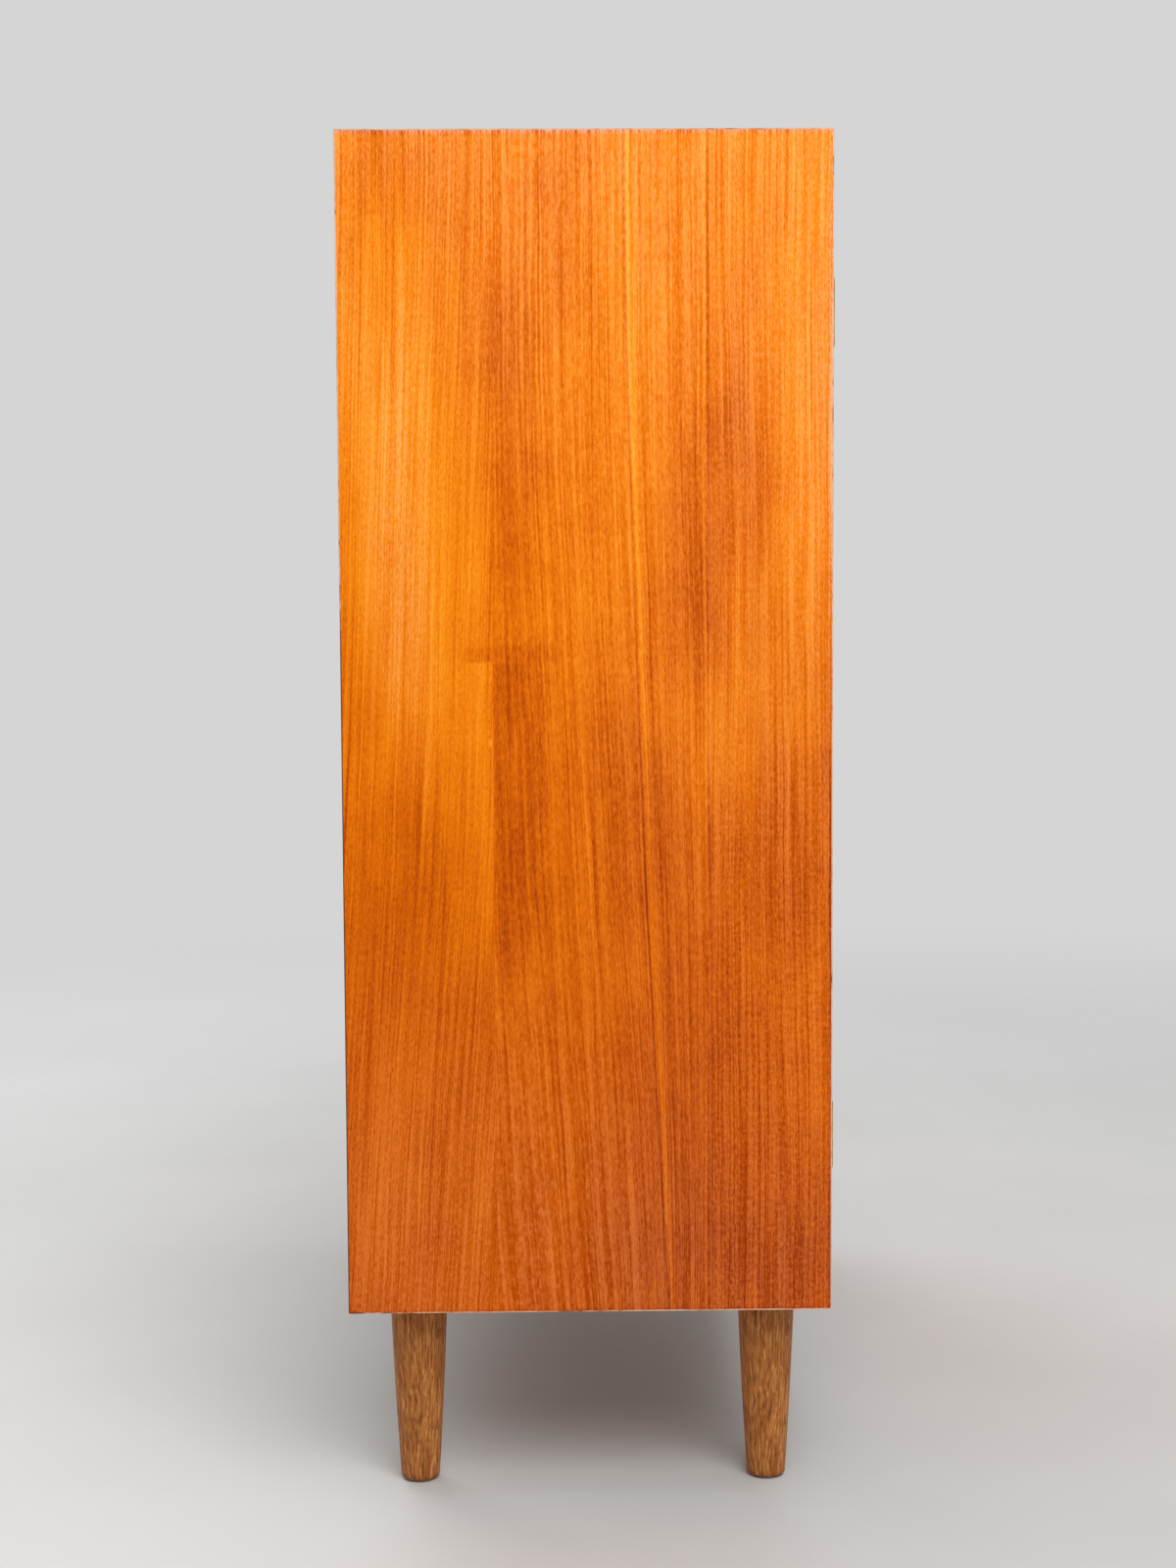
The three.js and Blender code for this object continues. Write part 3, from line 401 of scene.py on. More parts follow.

# %% [markdown]
# A sliced leaf throws light back unevenly, because its fibres dip in and out of the surface. Large
# soft patches look amber or brown. On the left side panel they are placed one by one, each as a
# soft oval: across and up from the middle of the panel's foot, half width, half height, strength.
# Their rims are made ragged along the grain. At the left seam two patches are cut off straight, and
# both stop at a level mark, where a strip once lay across the board and kept the light off it.
# Between them the whole board is faintly mottled. Towards the top and the foot, towards the front
# edge in its middle, and in a few ovals, the wood is paler: a whitish painted sheen.

# %% Amber and brown patches of the left side panel
PATCHES = [
    (-0.180, 0.810, 0.056, 0.200, 0.33),
    (-0.150, 0.600, 0.040, 0.110, 0.10),
    (-0.128, 0.640, 0.030, 0.170, 0.08),
    (0.212, 0.815, 0.030, 0.230, 0.17),
    (0.140, 0.570, 0.065, 0.070, 0.20),
    (0.050, 0.860, 0.030, 0.230, 0.08),
    (-0.015, 0.650, 0.030, 0.060, 0.12),
    (-0.110, 0.030, 0.160, 0.130, 0.11),
    (0.040, 0.090, 0.090, 0.130, -0.06),
    (-0.190, 1.120, 0.070, 0.080, -0.14),
    (-0.060, 0.980, 0.065, 0.170, -0.10),
    (-0.020, 1.130, 0.030, 0.070, -0.12),
    (0.140, 1.130, 0.110, 0.120, 0.02),
    (0.130, 0.850, 0.042, 0.120, -0.20),
    (0.095, 0.690, 0.032, 0.110, -0.15),
    (0.220, 0.470, 0.055, 0.110, -0.16),
    (0.058, 0.430, 0.032, 0.170, -0.15),
    (0.135, 0.340, 0.055, 0.190, -0.17),
    (-0.200, 0.450, 0.060, 0.090, -0.14),
    (-0.095, 0.380, 0.040, 0.090, -0.06),
    (0.070, 0.070, 0.060, 0.160, -0.13),
    (0.200, 0.060, 0.070, 0.080, -0.12),
    (0.165, 0.840, 0.022, 0.080, -0.09),
    (-0.040, 0.640, 0.070, 0.070, -0.07),
    (-0.205, 0.480, 0.030, 0.060, 0.07),
    (-0.074, 0.830, 0.024, 0.150, -0.14),
    (0.000, 0.900, 0.040, 0.200, 0.05),
    (-0.225, 0.640, 0.020, 0.060, -0.12),
    (-0.068, 0.590, 0.022, 0.045, 0.13),
    (0.023, 0.520, 0.030, 0.060, -0.11),
    (0.162, 0.390, 0.026, 0.080, 0.10),
    (-0.205, 0.340, 0.032, 0.070, -0.10),
    (-0.160, 0.440, 0.024, 0.050, -0.08),
    (0.150, 0.035, 0.110, 0.050, -0.09),
    (-0.110, 0.060, 0.024, 0.060, 0.07),
    (-0.066, 0.120, 0.020, 0.100, -0.08),
    (-0.020, 0.110, 0.024, 0.130, 0.08),
    (0.112, 0.920, 0.022, 0.060, 0.08),
    (-0.212, 1.055, 0.022, 0.040, 0.09),
    (0.072, 1.080, 0.026, 0.060, -0.10),
]
SEAM = -0.092
AMBER_LEFT = (-0.100, 0.500, 0.020, 0.200, 0.20)
BROWN_RIGHT = (-0.078, 0.520, 0.034, 0.250, -0.27)
NICK = (-0.0945, 0.566, 0.0012, 0.004, 0.5)
# Ovals of whitish painted sheen, given like the patches; the last one takes sheen away.
SHEEN_PATCHES = [
    (-0.182, 0.800, 0.024, 0.140, 0.95), (-0.168, 0.640, 0.016, 0.100, 0.35),
    (0.230, 0.900, 0.028, 0.200, 0.30), (-0.190, 1.070, 0.045, 0.060, -0.40),
]


def oval(across, along, middle_x, middle_z, half_x, half_z, strength):
    """One soft oval: its strength at its middle, half of it at its rim."""
    gap = length((across - middle_x) / half_x, (along - middle_z) / half_z)
    return smooth(gap, 1.8, 0.1, 0.0, strength)


patches, given, result = open_group("side_panel_patches", ["Vector"], ["Patches", "Pale"])
across, deep, along = parts(given["Vector"])
streaks = wave(across, deep, along, (75, 1, 2.5), detail=3.0)
ragged = (streaks * 0.02 + across, streaks * 0.30 + along)
left_of_seam = smooth(across, SEAM + 0.0006, SEAM - 0.0006)
below_mark = window(along, 0.350, 0.644, 0.060, 0.002)
mark = window(across, -0.119, -0.026, 0.003, 0.010) * window(along, 0.6445, 0.660, 0.0015, 0.006)
total = sum(oval(*ragged, *patch) for patch in PATCHES) - mark * 0.14
total += oval(*ragged, *AMBER_LEFT) * left_of_seam * below_mark
total += oval(*ragged, *BROWN_RIGHT) * (1.0 - left_of_seam) * below_mark
total += wave(ragged[0], deep, along, (26, 1, 17), roughness=0.6) * 0.36
# Painted sheen: whitish towards the top and the foot, towards the front edge between 0.35 m and 1 m up,
# and in a few ovals.
pale = smooth(along, 0.72, 1.20, 0.0, 0.75) + smooth(along, 0.42, 0.0, 0.0, 0.50)
pale += smooth(across, -0.10, 0.24, 0.0, 0.45) * window(along, 0.35, 1.0, 0.2, 0.2)
pale += sum(oval(*ragged, *patch) for patch in SHEEN_PATCHES)
give(result, Patches=total, Pale=pale)
print("side_panel_patches has", len(patches.nodes), "nodes")

# %% [markdown]
# The veneer's material works in brightness first: a level for the height on the board, times the
# lines, the silk and the patches. On the sides and the doors the level rises towards the top: painted
# light from above, and on the left side panel partly its own tone. One colour ramp then turns
# brightness into wood: red-brown where it is dark, orange in the middle, amber where it is light. A
# whitish painted sheen is blended in over light lines and hardly over dark ones. The finish is
# semi-gloss, a little rougher where the pores break it. Each board has its own direction of grain,
# its own middle and its own seed, so no two boards match.

# %% Teak colours
TEAK_STOPS = [
    (0.0, (0.310, 0.032, 0.0008)),
    (0.2, (0.530, 0.078, 0.0010)),
    (0.4, (0.722, 0.138, 0.0012)),
    (0.6, (0.865, 0.208, 0.0030)),
    (0.8, (0.960, 0.288, 0.0100)),
    (1.0, (0.990, 0.395, 0.0300)),
]
SHADED_STOPS = [
    (0.0, (0.150, 0.044, 0.011)),
    (0.2, (0.270, 0.088, 0.022)),
    (0.4, (0.395, 0.142, 0.036)),
    (0.6, (0.540, 0.200, 0.044)),
    (0.8, (0.670, 0.275, 0.066)),
    (1.0, (0.770, 0.365, 0.110)),
]
LIPPING_STOPS = [
    (place, tuple((a + b) / 2 for a, b in zip(bright, shaded)))
    for (place, bright), (_, shaded) in zip(TEAK_STOPS, SHADED_STOPS)
]
PORE_BROWN = (0.36, 0.16, 0.06)
# The whitish tan of the painted sheen, which the left side panel's paler rims take too.
SHEEN_TAN = (0.90, 0.56, 0.42)
VARNISH_TINT = (1.0, 0.66, 0.25)
print("teak in", len(TEAK_STOPS), "shades, in the sun and out of it")

# %% Teak veneer material
def teak_surface(surface, brightness, figure, pale, stops):
    """Colour, gloss and relief from a brightness, a figure and pale: how much it is whitened, mostly as
    painted sheen.
    """
    pores, silk = figure["Pores"], figure["Silk"]
    # Painted sheen: light lines are blended towards a whitish tan and dark ones hardly at all, by pale;
    # the left side panel's paler rims come in the same way.
    whitening = smooth(figure["Lines"] + silk, -0.18, 0.20, 0.0, 1.9) * pale * 0.07
    colour = blend(whitening, ramp(brightness * 2.5 - 0.25, stops), SHEEN_TAN)
    colour = stain(colour, pores * 0.26, PORE_BROWN)
    roughness = pores * 0.15 + silk * 0.2 + 0.36
    cover(surface, colour, roughness, specular=0.16, relief=silk * 0.8 - pores * 0.8)
    put(VARNISH_TINT, surface.inputs["Specular Tint"])


def teak_veneer(
    name, across, along, middle, seed,
    level=0.27, fall=0.0, seam=-0.092, tilt=0.03, arch=0.0, sheen_clouds=0.45, pale=0.3, stops=TEAK_STOPS,
):
    """Veneer on a board. level is its brightness, and fall how much more it has at its top, as painted
    light from above.
    """
    material, surface, position = open_material(name)
    vector = grain(position, across, along, middle)
    figure = use_group(teak_figure, Vector=vector, Seed=seed, Seam=seam, Lean=tilt, Crown=arch)
    # The clouds are soft painted sheen: patches where a leaf throws light back unevenly.
    variation = figure["Cloud"] * sheen_clouds + figure["Lines"] + figure["Silk"] * 0.5
    # fall paints light from above: the board grows brighter towards its top.
    base = parts(vector)[2] * fall + level
    teak_surface(surface, variation * base + base, figure, pale, stops)
    return material


def teak_solid(name, across, along, middle, seed, level=0.24, stops=LIPPING_STOPS):
    """Solid teak for lippings and handles: straight lines, no seams, a little darker."""
    shape = {"level": level, "seam": 10.0, "tilt": 0.0, "sheen_clouds": 0.3}
    return teak_veneer(name, across, along, middle, seed, stops=stops, **shape)


print("veneer can be cut for any board")

# %% Veneer of the left side panel
def left_side_veneer():
    """The left side panel's own veneer: placed patches, marked lines, ripple and a nick."""
    material, surface, position = open_material("teak_side_left")
    vector = grain(position, FRONT, UP, side_foot)
    figure = use_group(teak_figure, Vector=vector, Seam=SEAM, Lean=0.042)
    placed = use_group(patches, Vector=vector)
    across, _, along = parts(vector)
    fine = (figure["Silk"] * 0.9 + figure["Lines"]) * (along * -0.20 + 1.05)
    variation = fine + placed["Patches"]
    leaning_right = across - fan(along) * 0.041
    leaning_left = across + fan(along) * 0.053
    marked_lines = [
        (leaning_right, 0.0415, 0.0045, 0.30), (leaning_right, 0.0370, 0.0024, -0.28),
        (leaning_right, 0.052, 0.0016, -0.12), (leaning_right, -0.058, 0.0022, -0.14),
        (across, 0.1180, 0.0020, -0.24), (across, 0.1145, 0.0030, 0.14),
        (across, 0.0060, 0.0016, -0.14), (across, 0.0750, 0.0018, 0.14),
        (leaning_left, -0.2215, 0.0016, -0.20), (leaning_left, -0.2145, 0.0014, -0.16),
        (leaning_left, -0.182, 0.0020, -0.14), (leaning_left, -0.115, 0.0020, -0.14),
    ]
    for place, middle, half_width, strength in marked_lines:
        variation += smooth(abs(place - middle), half_width, 0.0, 0.0, strength)
    variation += oval(across, along, *NICK)
    rippled = smooth(along, 0.62, 0.25) * smooth(across, 0.05, 0.16)
    variation += figure["Ripple"] * (rippled * 0.50 + 0.13)
    back_rim = smooth(across, 0.2335, 0.2395)
    # Along back_rim the face is darker below about halfway up and whitened above; the very foot is darker,
    # and a thin strip just under the top is both darker and whitened.
    darker_rims = back_rim * smooth(along, 0.75, 0.45, 0.0, 0.30) + smooth(along, 0.005, 0.0, 0.0, 0.30)
    variation -= darker_rims + smooth(along, 1.147, 1.153, 0.0, 0.15)
    paler_rims = back_rim * smooth(along, 0.55, 0.85, 0.0, 3.0) + smooth(along, 1.148, 1.154, 0.0, 3.0)
    # Brighter towards the top: partly the veneer's own tone and partly painted light from above.
    base = along * 0.140 + 0.203
    teak_surface(surface, variation * base + base, figure, paler_rims + placed["Pale"], TEAK_STOPS)
    return material


veneer_left = left_side_veneer()
print("made", veneer_left.name)

# %% [markdown]
# ## Worn edges
#
# Where two faces of a board meet, hands and cloths have rubbed the stain away. The wood shows paler
# there, nearly white in places and hardly at all in others, with a few dark nicks. Hands reach the
# front most, while the lower back edges are hardly touched and stay dark. The bevelled faces of each
# board get this material, so the wear stays on the very edge.

# %% Worn edge material
WORN_STOPS = [
    (0.34, (0.17, 0.045, 0.012)),
    (0.41, (0.50, 0.165, 0.060)),
    (0.47, (0.72, 0.330, 0.160)),
    (0.58, (0.76, 0.480, 0.330)),
]

edge_wear, surface, position = open_material("worn_edge")
x, y, z = parts(position)
broad = noise(x, y, z, (9, 9, 9), detail=3.0, roughness=0.6)
fine = noise(x, y, z, (70, 70, 70), detail=3.0, roughness=0.6)
sheltered = smooth(y, back_y - 0.02, back_y) * smooth(z, 1.0, 0.7)
handled = smooth(y, front_y + 0.02, front_y)
rubbed = fine * 0.5 + broad * 0.5 - sheltered * 0.30 + handled * 0.05
cover(surface, ramp(rubbed, WORN_STOPS), 0.6, specular=0.25)
print("made", edge_wear.name)

# %% [markdown]
# ## Turned hardwood for the legs
#
# The legs are a browner wood than the case. It is solid, so the lathe has cut through the growth
# rings, and they show as long arches on the round surface. Many short dark pores run along the
# leg. Rings are contours of the distance from the tree's heart, which lies a little off the leg's
# axis and leans across it.

# %% Leg wood material
LEG_STOPS = [
    (0.40, (0.150, 0.042, 0.007)),
    (0.50, (0.345, 0.108, 0.020)),
    (0.58, (0.460, 0.162, 0.033)),
    (0.67, (0.660, 0.280, 0.080)),
]


def leg_wood(node, middle, seed):
    """The wood of one leg. Its seed moves the heart, so that no two legs look alike."""
    material, surface, position = open_material(node + "_wood")
    x, y, z = parts(grain(position, RIGHT, UP, (middle.x, middle.y, 0)))
    lump = noise(x, y, z, (30, 30, 9))
    from_heart_x = x - (z * 0.07 + (0.05 + 0.006 * seed))
    from_heart_y = y - (z * -0.05 + (-0.035 + 0.009 * seed))
    distance = length(from_heart_x, from_heart_y) + lump * 0.012
    rings = noise(distance, float(seed), 0.0, (420, 1, 1), roughness=0.6)
    waver = wave(x, y, z, (45, 45, 38)) * 0.006
    x, y = x + waver, y + waver
    fibre = noise(x, y, z, (520, 520, 22))
    pores = smooth(noise(x, y, z, (850, 850, 130), detail=1.0), 0.52, 0.64)
    colour = ramp(fibre * 0.54 + (rings * 0.36 + 0.10), LEG_STOPS)
    colour = stain(colour, pores * 0.42, (0.42, 0.3, 0.22))
    # Painted shade: the lowest 10 mm, where the rounded foot turns down towards the floor, is darkened.
    colour = stain(colour, smooth(z, 0.010, 0.0, 0.0, 0.7), (0.35, 0.28, 0.24))
    relief = fibre - pores
    cover(surface, colour, pores * 0.2 + 0.46, specular=0.22, relief=relief, bump=0.4, depth=0.0003)
    return material


print("leg wood goes from", LEG_STOPS[0][1], "to", LEG_STOPS[-1][1])

# %% [markdown]
# ## Metals
#
# Brass that is handled darkens in its hollows and stays bright where fingers rub it. The metals
# share one group that gives a soft tarnish mask and fine scratches. Brass then goes from
# gold to brown with the mask, and zinc-plated steel from a cool grey to a duller one.

# %% Metal wear, as a node group, and the metals
metal_wear, given, result = open_group("metal_wear", ["Vector"], ["Tarnish", "Scratches"])
x, y, z = parts(given["Vector"])
tarnish = smooth(noise(x, y, z, (60, 60, 60), detail=4.0, roughness=0.65), 0.38, 0.68)
give(result, Tarnish=tarnish, Scratches=noise(x, y, z, (900, 2500, 900)))


def metal(name, clean, dull, roughness):
    """A metal between a clean and a dull colour, with its roughness where it is clean."""
    material, surface, position = open_material(name)
    wear = use_group(metal_wear, Vector=position)
    tarnish, scratches = wear["Tarnish"], wear["Scratches"]
    roughness = tarnish * 0.2 + roughness + scratches * 0.1
    colour = blend(tarnish, clean, dull)
    cover(surface, colour, roughness, metallic=1.0, relief=scratches, bump=0.2, depth=0.00005)
    return material


brass = metal("aged_brass", (0.78, 0.55, 0.22), (0.42, 0.25, 0.08), 0.24)
steel = metal("zinc_steel", (0.62, 0.64, 0.66), (0.40, 0.41, 0.42), 0.34)
print("made", brass.name, "and", steel.name)

# %% [markdown]
# ## Beech and plywood
#
# Beech is pale and even, with thousands of tiny darker flecks along the grain. The thin plywood of
# the back was never finished: it is a rotary-peeled sheet, so its figure is broad, wavy and soft.

# %% Beech and plywood materials
BEECH_STOPS = [(0.35, (0.52, 0.30, 0.14)), (0.5, (0.62, 0.39, 0.20)), (0.65, (0.70, 0.47, 0.27))]
PLY_STOPS = [(0.32, (0.37, 0.170, 0.064)), (0.5, (0.53, 0.275, 0.114)), (0.68, (0.67, 0.390, 0.182))]

beech, surface, position = open_material("waxed_beech")
x, y, z = parts(grain(position, FRONT, RIGHT, (0, 0, 0)))
bands = noise(x, y, z, (140, 140, 2.5))
flecks = smooth(noise(x, y, z, (1100, 1100, 160), detail=1.0), 0.6, 0.68)
colour = stain(ramp(bands, BEECH_STOPS), flecks * 0.5, (0.55, 0.42, 0.3))
cover(surface, colour, bands * 0.15 + 0.36, relief=bands - flecks, bump=0.15)

plywood, surface, position = open_material("back_plywood")
x, y, z = parts(grain(position, RIGHT, UP, (0, back_y, case_low.z)))
lump = noise(x, y, z, (3.0, 1, 1.2))
waves = noise(lump * 0.25 + x, y, z, (22, 1, 0.9), detail=3.0, roughness=0.55)
fibre = noise(x, y, z, (420, 1, 14))
pores = smooth(noise(x, y, z, (1100, 1, 90), detail=1.0), 0.6, 0.7)
colour = stain(ramp(fibre * 0.3 + waves * 0.7, PLY_STOPS), pores * 0.4, (0.5, 0.36, 0.25))
cover(surface, colour, fibre * 0.15 + 0.6, relief=fibre - pores, depth=0.0003)
print("made", beech.name, "and", plywood.name)

# %% [markdown]
# ## Modelling helpers
#
# Blender's primitives come at a place, a turn and a size of their own. A finished piece here has
# its object at the origin and its place in its mesh, so each helper applies the transform at once.
# Sizes below are in millimetres, as a cabinetmaker has them, and MM turns them into metres.

# %% Boxes, rods and turned shapes
MM = 0.001


def mm(x, y, z):
    """A place or a size that is given in millimetres."""
    return Vector((x, y, z)) * MM


def settle(piece, name):
    """Names a new primitive and puts its place, turn and size into its mesh."""
    piece.name = name
    choose(piece)
    bpy.ops.object.transform_apply(location=True, rotation=True, scale=True)
    return piece


def box(name, low, high):
    """A box between two corners, in millimetres."""
    low, high = mm(*low), mm(*high)
    bpy.ops.mesh.primitive_cube_add(size=1, location=(low + high) / 2, scale=high - low)
    return settle(bpy.context.object, name)


def rod(name, start, end, radius, sides=32):
    """A round bar from one point to another, in millimetres."""
    start, end = mm(*start), mm(*end)
    bpy.ops.mesh.primitive_cylinder_add(
        vertices=sides, radius=radius * MM, depth=(end - start).length, location=(start + end) / 2,
        rotation=(end - start).to_track_quat("Z", "Y").to_euler(),
    )
    return settle(bpy.context.object, name)


def close_up(piece):
    """In edit mode, merges points that meet and turns all faces outwards."""
    bpy.ops.mesh.select_all(action="SELECT")
    bpy.ops.mesh.remove_doubles(threshold=1e-6)
    bpy.ops.mesh.normals_make_consistent(inside=False)


def turned(name, profile, sides=40):
    """A shape turned on a lathe: (radius, height) points in millimetres, spun round the Z axis."""
    points = [mm(radius, 0, height) for radius, height in profile]
    bpy.ops.mesh.primitive_plane_add(size=MM)
    piece = bpy.context.object
    piece.name = name
    with editing(piece, "VERT"):
        bpy.ops.mesh.merge(type="CENTER")
        bpy.ops.transform.translate(value=points[0])
        for before, after in zip(points, points[1:]):
            bpy.ops.mesh.extrude_region_move(TRANSFORM_OT_translate={"value": after - before})
        bpy.ops.mesh.select_all(action="SELECT")
        bpy.ops.mesh.spin(steps=sides, angle=2 * pi, center=(0, 0, 0), axis=(0, 0, 1))
        close_up(piece)
    return settle(piece, name)


print("sizes are in millimetres of", MM, "m")

# %% Joining, cutting and rounding
def modify(piece, kind, **settings):
    """Adds a modifier and applies it."""
    choose(piece)
    added = piece.modifiers.new(kind.lower(), kind)
    for name, value in settings.items():
        setattr(added, name, value)
    bpy.ops.object.modifier_apply(modifier=added.name)
    return piece


def soften(piece, width, segments=2):
    """Rounds every sharp edge. The width is in millimetres."""
    return modify(
        piece, "BEVEL", width=width * MM, segments=segments, limit_method="ANGLE",
        angle_limit=radians(30), use_clamp_overlap=True,
    )


def remove(*pieces):
    """Deletes models and tools that are no longer needed."""
    for piece in pieces:
        bpy.data.objects.remove(piece)


def combine(piece, other, operation="DIFFERENCE"):
    """Cuts other out of piece, or joins it on with "UNION", and removes other."""
    modify(piece, "BOOLEAN", object=other, operation=operation, solver="EXACT")
    remove(other)
    return piece


def gathered(name, pieces):
    """Several pieces made into one object."""
    choose(pieces[0])
    for piece in pieces:
        piece.select_set(True)
    bpy.ops.object.join()
    pieces[0].name = name
    return pieces[0]


print("pieces can be softened, combined and gathered")

# %% Moving and copying
def moved(piece, matrix):
    """Moves the points of a piece, and keeps its faces outwards if the move mirrors it."""
    piece.data.transform(matrix)
    if matrix.determinant() < 0:
        piece.data.flip_normals()
    return piece


def repeat(piece, name, matrix):
    """A copy of a piece, with its own mesh, moved."""
    made = bpy.data.objects.new(name, piece.data.copy())
    bpy.context.collection.objects.link(made)
    return moved(made, matrix)


def shift(x, y, z):
    """A move, in millimetres."""
    return Matrix.Translation(mm(x, y, z))


def facing(direction, place):
    """Stands a shape that was made on Z at a place, pointing in a direction."""
    return Matrix.Translation(place) @ Vector(direction).to_track_quat("Z", "Y").to_matrix().to_4x4()


def turned_over(x, z_from, z_to, x_to):
    """Half a turn about Y: what is at (x, z_from) comes to (x_to, z_to), upside down."""
    return shift(x_to, 0, z_to) @ Matrix.Rotation(pi, 4, "Y") @ shift(-x, 0, -z_from)


print("pieces can be moved, copied and turned over")

# %% [markdown]
# ## Screws
#
# Small brass screws hold the hinges and the plates. Only a slotted head shows, so one head is
# made: a turned disc with a rounded rim and a slot sawn across it. It is copied wherever it is
# needed, each time with the slot at another angle, because nobody lines them up.

# %% A slotted screw head
SAW_DEPTH = 0.62


def slotted_head(name, radius, dome, slot):
    """A screw head on Z, its face at z 0: a disc with a dome, a rounded rim and a slot."""
    profile = [(0, -1), (radius * 0.7, -1), (radius, -0.25), (radius * 0.96, -0.06)]
    profile += [(radius * 0.8, dome * 0.36), (radius * 0.5, dome * 0.78), (0, dome)]
    head = turned(name, profile, sides=24)
    start, end = (-radius * 1.2, -slot / 2, dome - SAW_DEPTH), (radius * 1.2, slot / 2, dome + 1)
    return combine(head, box("saw", start, end))


small_head = slotted_head("small_head", 2.1, 0.12, 0.55)
tiny_head = slotted_head("tiny_head", 1.7, 0.4, 0.5)
slot_angles = count(1.4, 1.1)


def screws(head, name, direction, places, lift=0.05):
    """Heads at places in millimetres, facing a direction, joined into one object."""
    made = []
    for place in places:
        stand = facing(direction, mm(*place) + Vector(direction) * lift * MM)
        made.append(repeat(head, name, stand @ Matrix.Rotation(next(slot_angles), 4, "Z")))
    return gathered(name, made)


print("made the heads", small_head.name, "and", tiny_head.name)

# %% [markdown]
# ## Boards with eased edges
#
# A cabinetmaker takes the sharpness off every outside edge with fine paper. The boards start as
# copies of the frame's solids, whose grooves and holes are already right: loose triangles are
# merged and dissolved into whole faces. The outside edges get a small bevel in the worn-edge
# material. Then each plane of the board is given its slot: the outer veneer, the solid lipping on
# its edges, or the plainer veneer inside.

# %% Copying and easing a board
OUTER, WORN, LIPPING, INNER = 0, 1, 2, 3
PLAIN_FINISHES = {"brass": brass, "steel": steel, "beech": beech, "plywood": plywood}


def near(a, b):
    """Whether two places are the same, give or take a rounding."""
    return abs(a - b) < 2e-5


def copy_of(node, name, *materials):
    """A clean copy of a CAD node's mesh: merged, with its flat faces whole."""
    piece = bpy.data.objects.new(name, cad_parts[node].data.copy())
    bpy.context.collection.objects.link(piece)
    piece.data.materials.clear()
    for material in materials:
        piece.data.materials.append(material)
    with editing(piece):
        bpy.ops.mesh.customdata_custom_splitnormals_clear()
        bpy.ops.mesh.remove_doubles(threshold=1e-6)
        bpy.ops.mesh.dissolve_limited(angle_limit=radians(0.3))
    return piece


def ease(piece, test, width, segments=2, slot=WORN):
    """Bevels the edges that pass the test, in millimetres. The new faces get a material slot."""
    with editing(piece, "EDGE"):
        found = pick(piece, test)
        bpy.ops.mesh.bevel(
            offset=width * MM, segments=segments, affect="EDGES", clamp_overlap=False, material=slot
        )
    return found


def lies_on(edge, axis, place):
    """Whether an edge lies in the plane across an axis at a place."""
    return all(near(vert.co[axis], place) for vert in edge.verts)


def runs_along(edge, axis):
    """Whether an edge runs along one axis only."""
    span = edge.verts[0].co - edge.verts[1].co
    return all(abs(span[other]) < 1e-5 for other in range(3) if other != axis)


def rim_of(axis, place, *sides):
    """A test for the edges in one plane that also lie in one of the given (axis, place) planes."""
    return lambda edge: lies_on(edge, axis, place) and any(lies_on(edge, *side) for side in sides)


def line_of(axis, place, side, run):
    """A test for the edges where two planes meet, which run along one axis."""
    meets = rim_of(axis, place, side)
    return lambda edge: meets(edge) and runs_along(edge, run)


def paint(piece, slot, axis=None, place=None):
    """Gives all faces but the worn ones a material slot, or just those in one plane."""
    for face in piece.data.polygons:
        inside = axis is None or near(face.center[axis], place) and abs(face.normal[axis]) > 0.99
        if inside and face.material_index != WORN:
            face.material_index = slot


def dress(piece, body, slot, *nodes):
    """Gives a finished piece its material, smooth shading and its body, and hides the CAD nodes that it
    stands for.
    """
    if not piece.data.materials:
        piece.data.materials.append(PLAIN_FINISHES[slot])
    choose(piece)
    bpy.ops.object.shade_smooth_by_angle(angle=radians(32))
    modify(piece, "WEIGHTED_NORMAL", weight=100, keep_sharp=True)
    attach(piece, body)
    if nodes:
        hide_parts(*nodes)
    return piece


print("board helpers are ready")

# %% [markdown]
# ## Case
#
# The case is a ring of four boards with mitred corners, so from the side no end grain shows. The
# side panels stand with their grain upright and the top and bottom have theirs running across.
# Each front edge is lipped with solid teak.

# %% The four boards of the case
OUTER_EASE, INNER_EASE = 1.3, 0.5


def case_board(node, axis, outer, inner, *materials):
    """A board of the case, whose faces lie across one axis, at the places outer and inner."""
    run = 2 - axis
    board = copy_of(node, "veneered_" + node, *materials)
    ends = ((run, case_low[run]), (run, case_high[run]))
    found = ease(board, rim_of(axis, outer, (1, front_y), (1, back_y), *ends), OUTER_EASE)
    ease(board, line_of(axis, inner, (1, front_y), run), INNER_EASE)
    paint(board, INNER)
    paint(board, OUTER, axis, outer)
    paint(board, LIPPING, 1, front_y)
    paint(board, LIPPING, 1, back_y)
    dress(board, "carcass", "teak", node)
    print("eased", found, "edges of", node)


upright_lipping = teak_solid("teak_side_lipping", RIGHT, UP, side_foot, 20.0)
inner_sides = teak_veneer(
    "teak_inside_upright", FRONT, UP, side_foot, 31.0, level=0.25, seam=-0.03, stops=SHADED_STOPS
)
# The right side panel is painted brighter towards its top by fall, as light from above.
veneer_right = teak_veneer(
    "teak_side_right", BACK, UP, side_foot, 5.0, level=0.2, fall=0.13, seam=-0.11, tilt=0.035
)
side_woods = edge_wear, upright_lipping, inner_sides
case_board("side_panel_left", 0, case_low.x, left_inner.x, veneer_left, *side_woods)
case_board("side_panel_right", 0, case_high.x, right_inner.x, veneer_right, *side_woods)

top_middle = Vector((0, case_middle.y, case_high.z))
across_lipping = teak_solid("teak_across_lipping", UP, RIGHT, top_middle, 23.0)
inner_across = teak_veneer(
    "teak_inside_across", FRONT, RIGHT, top_middle, 37.0, level=0.25, seam=-0.05, stops=SHADED_STOPS
)
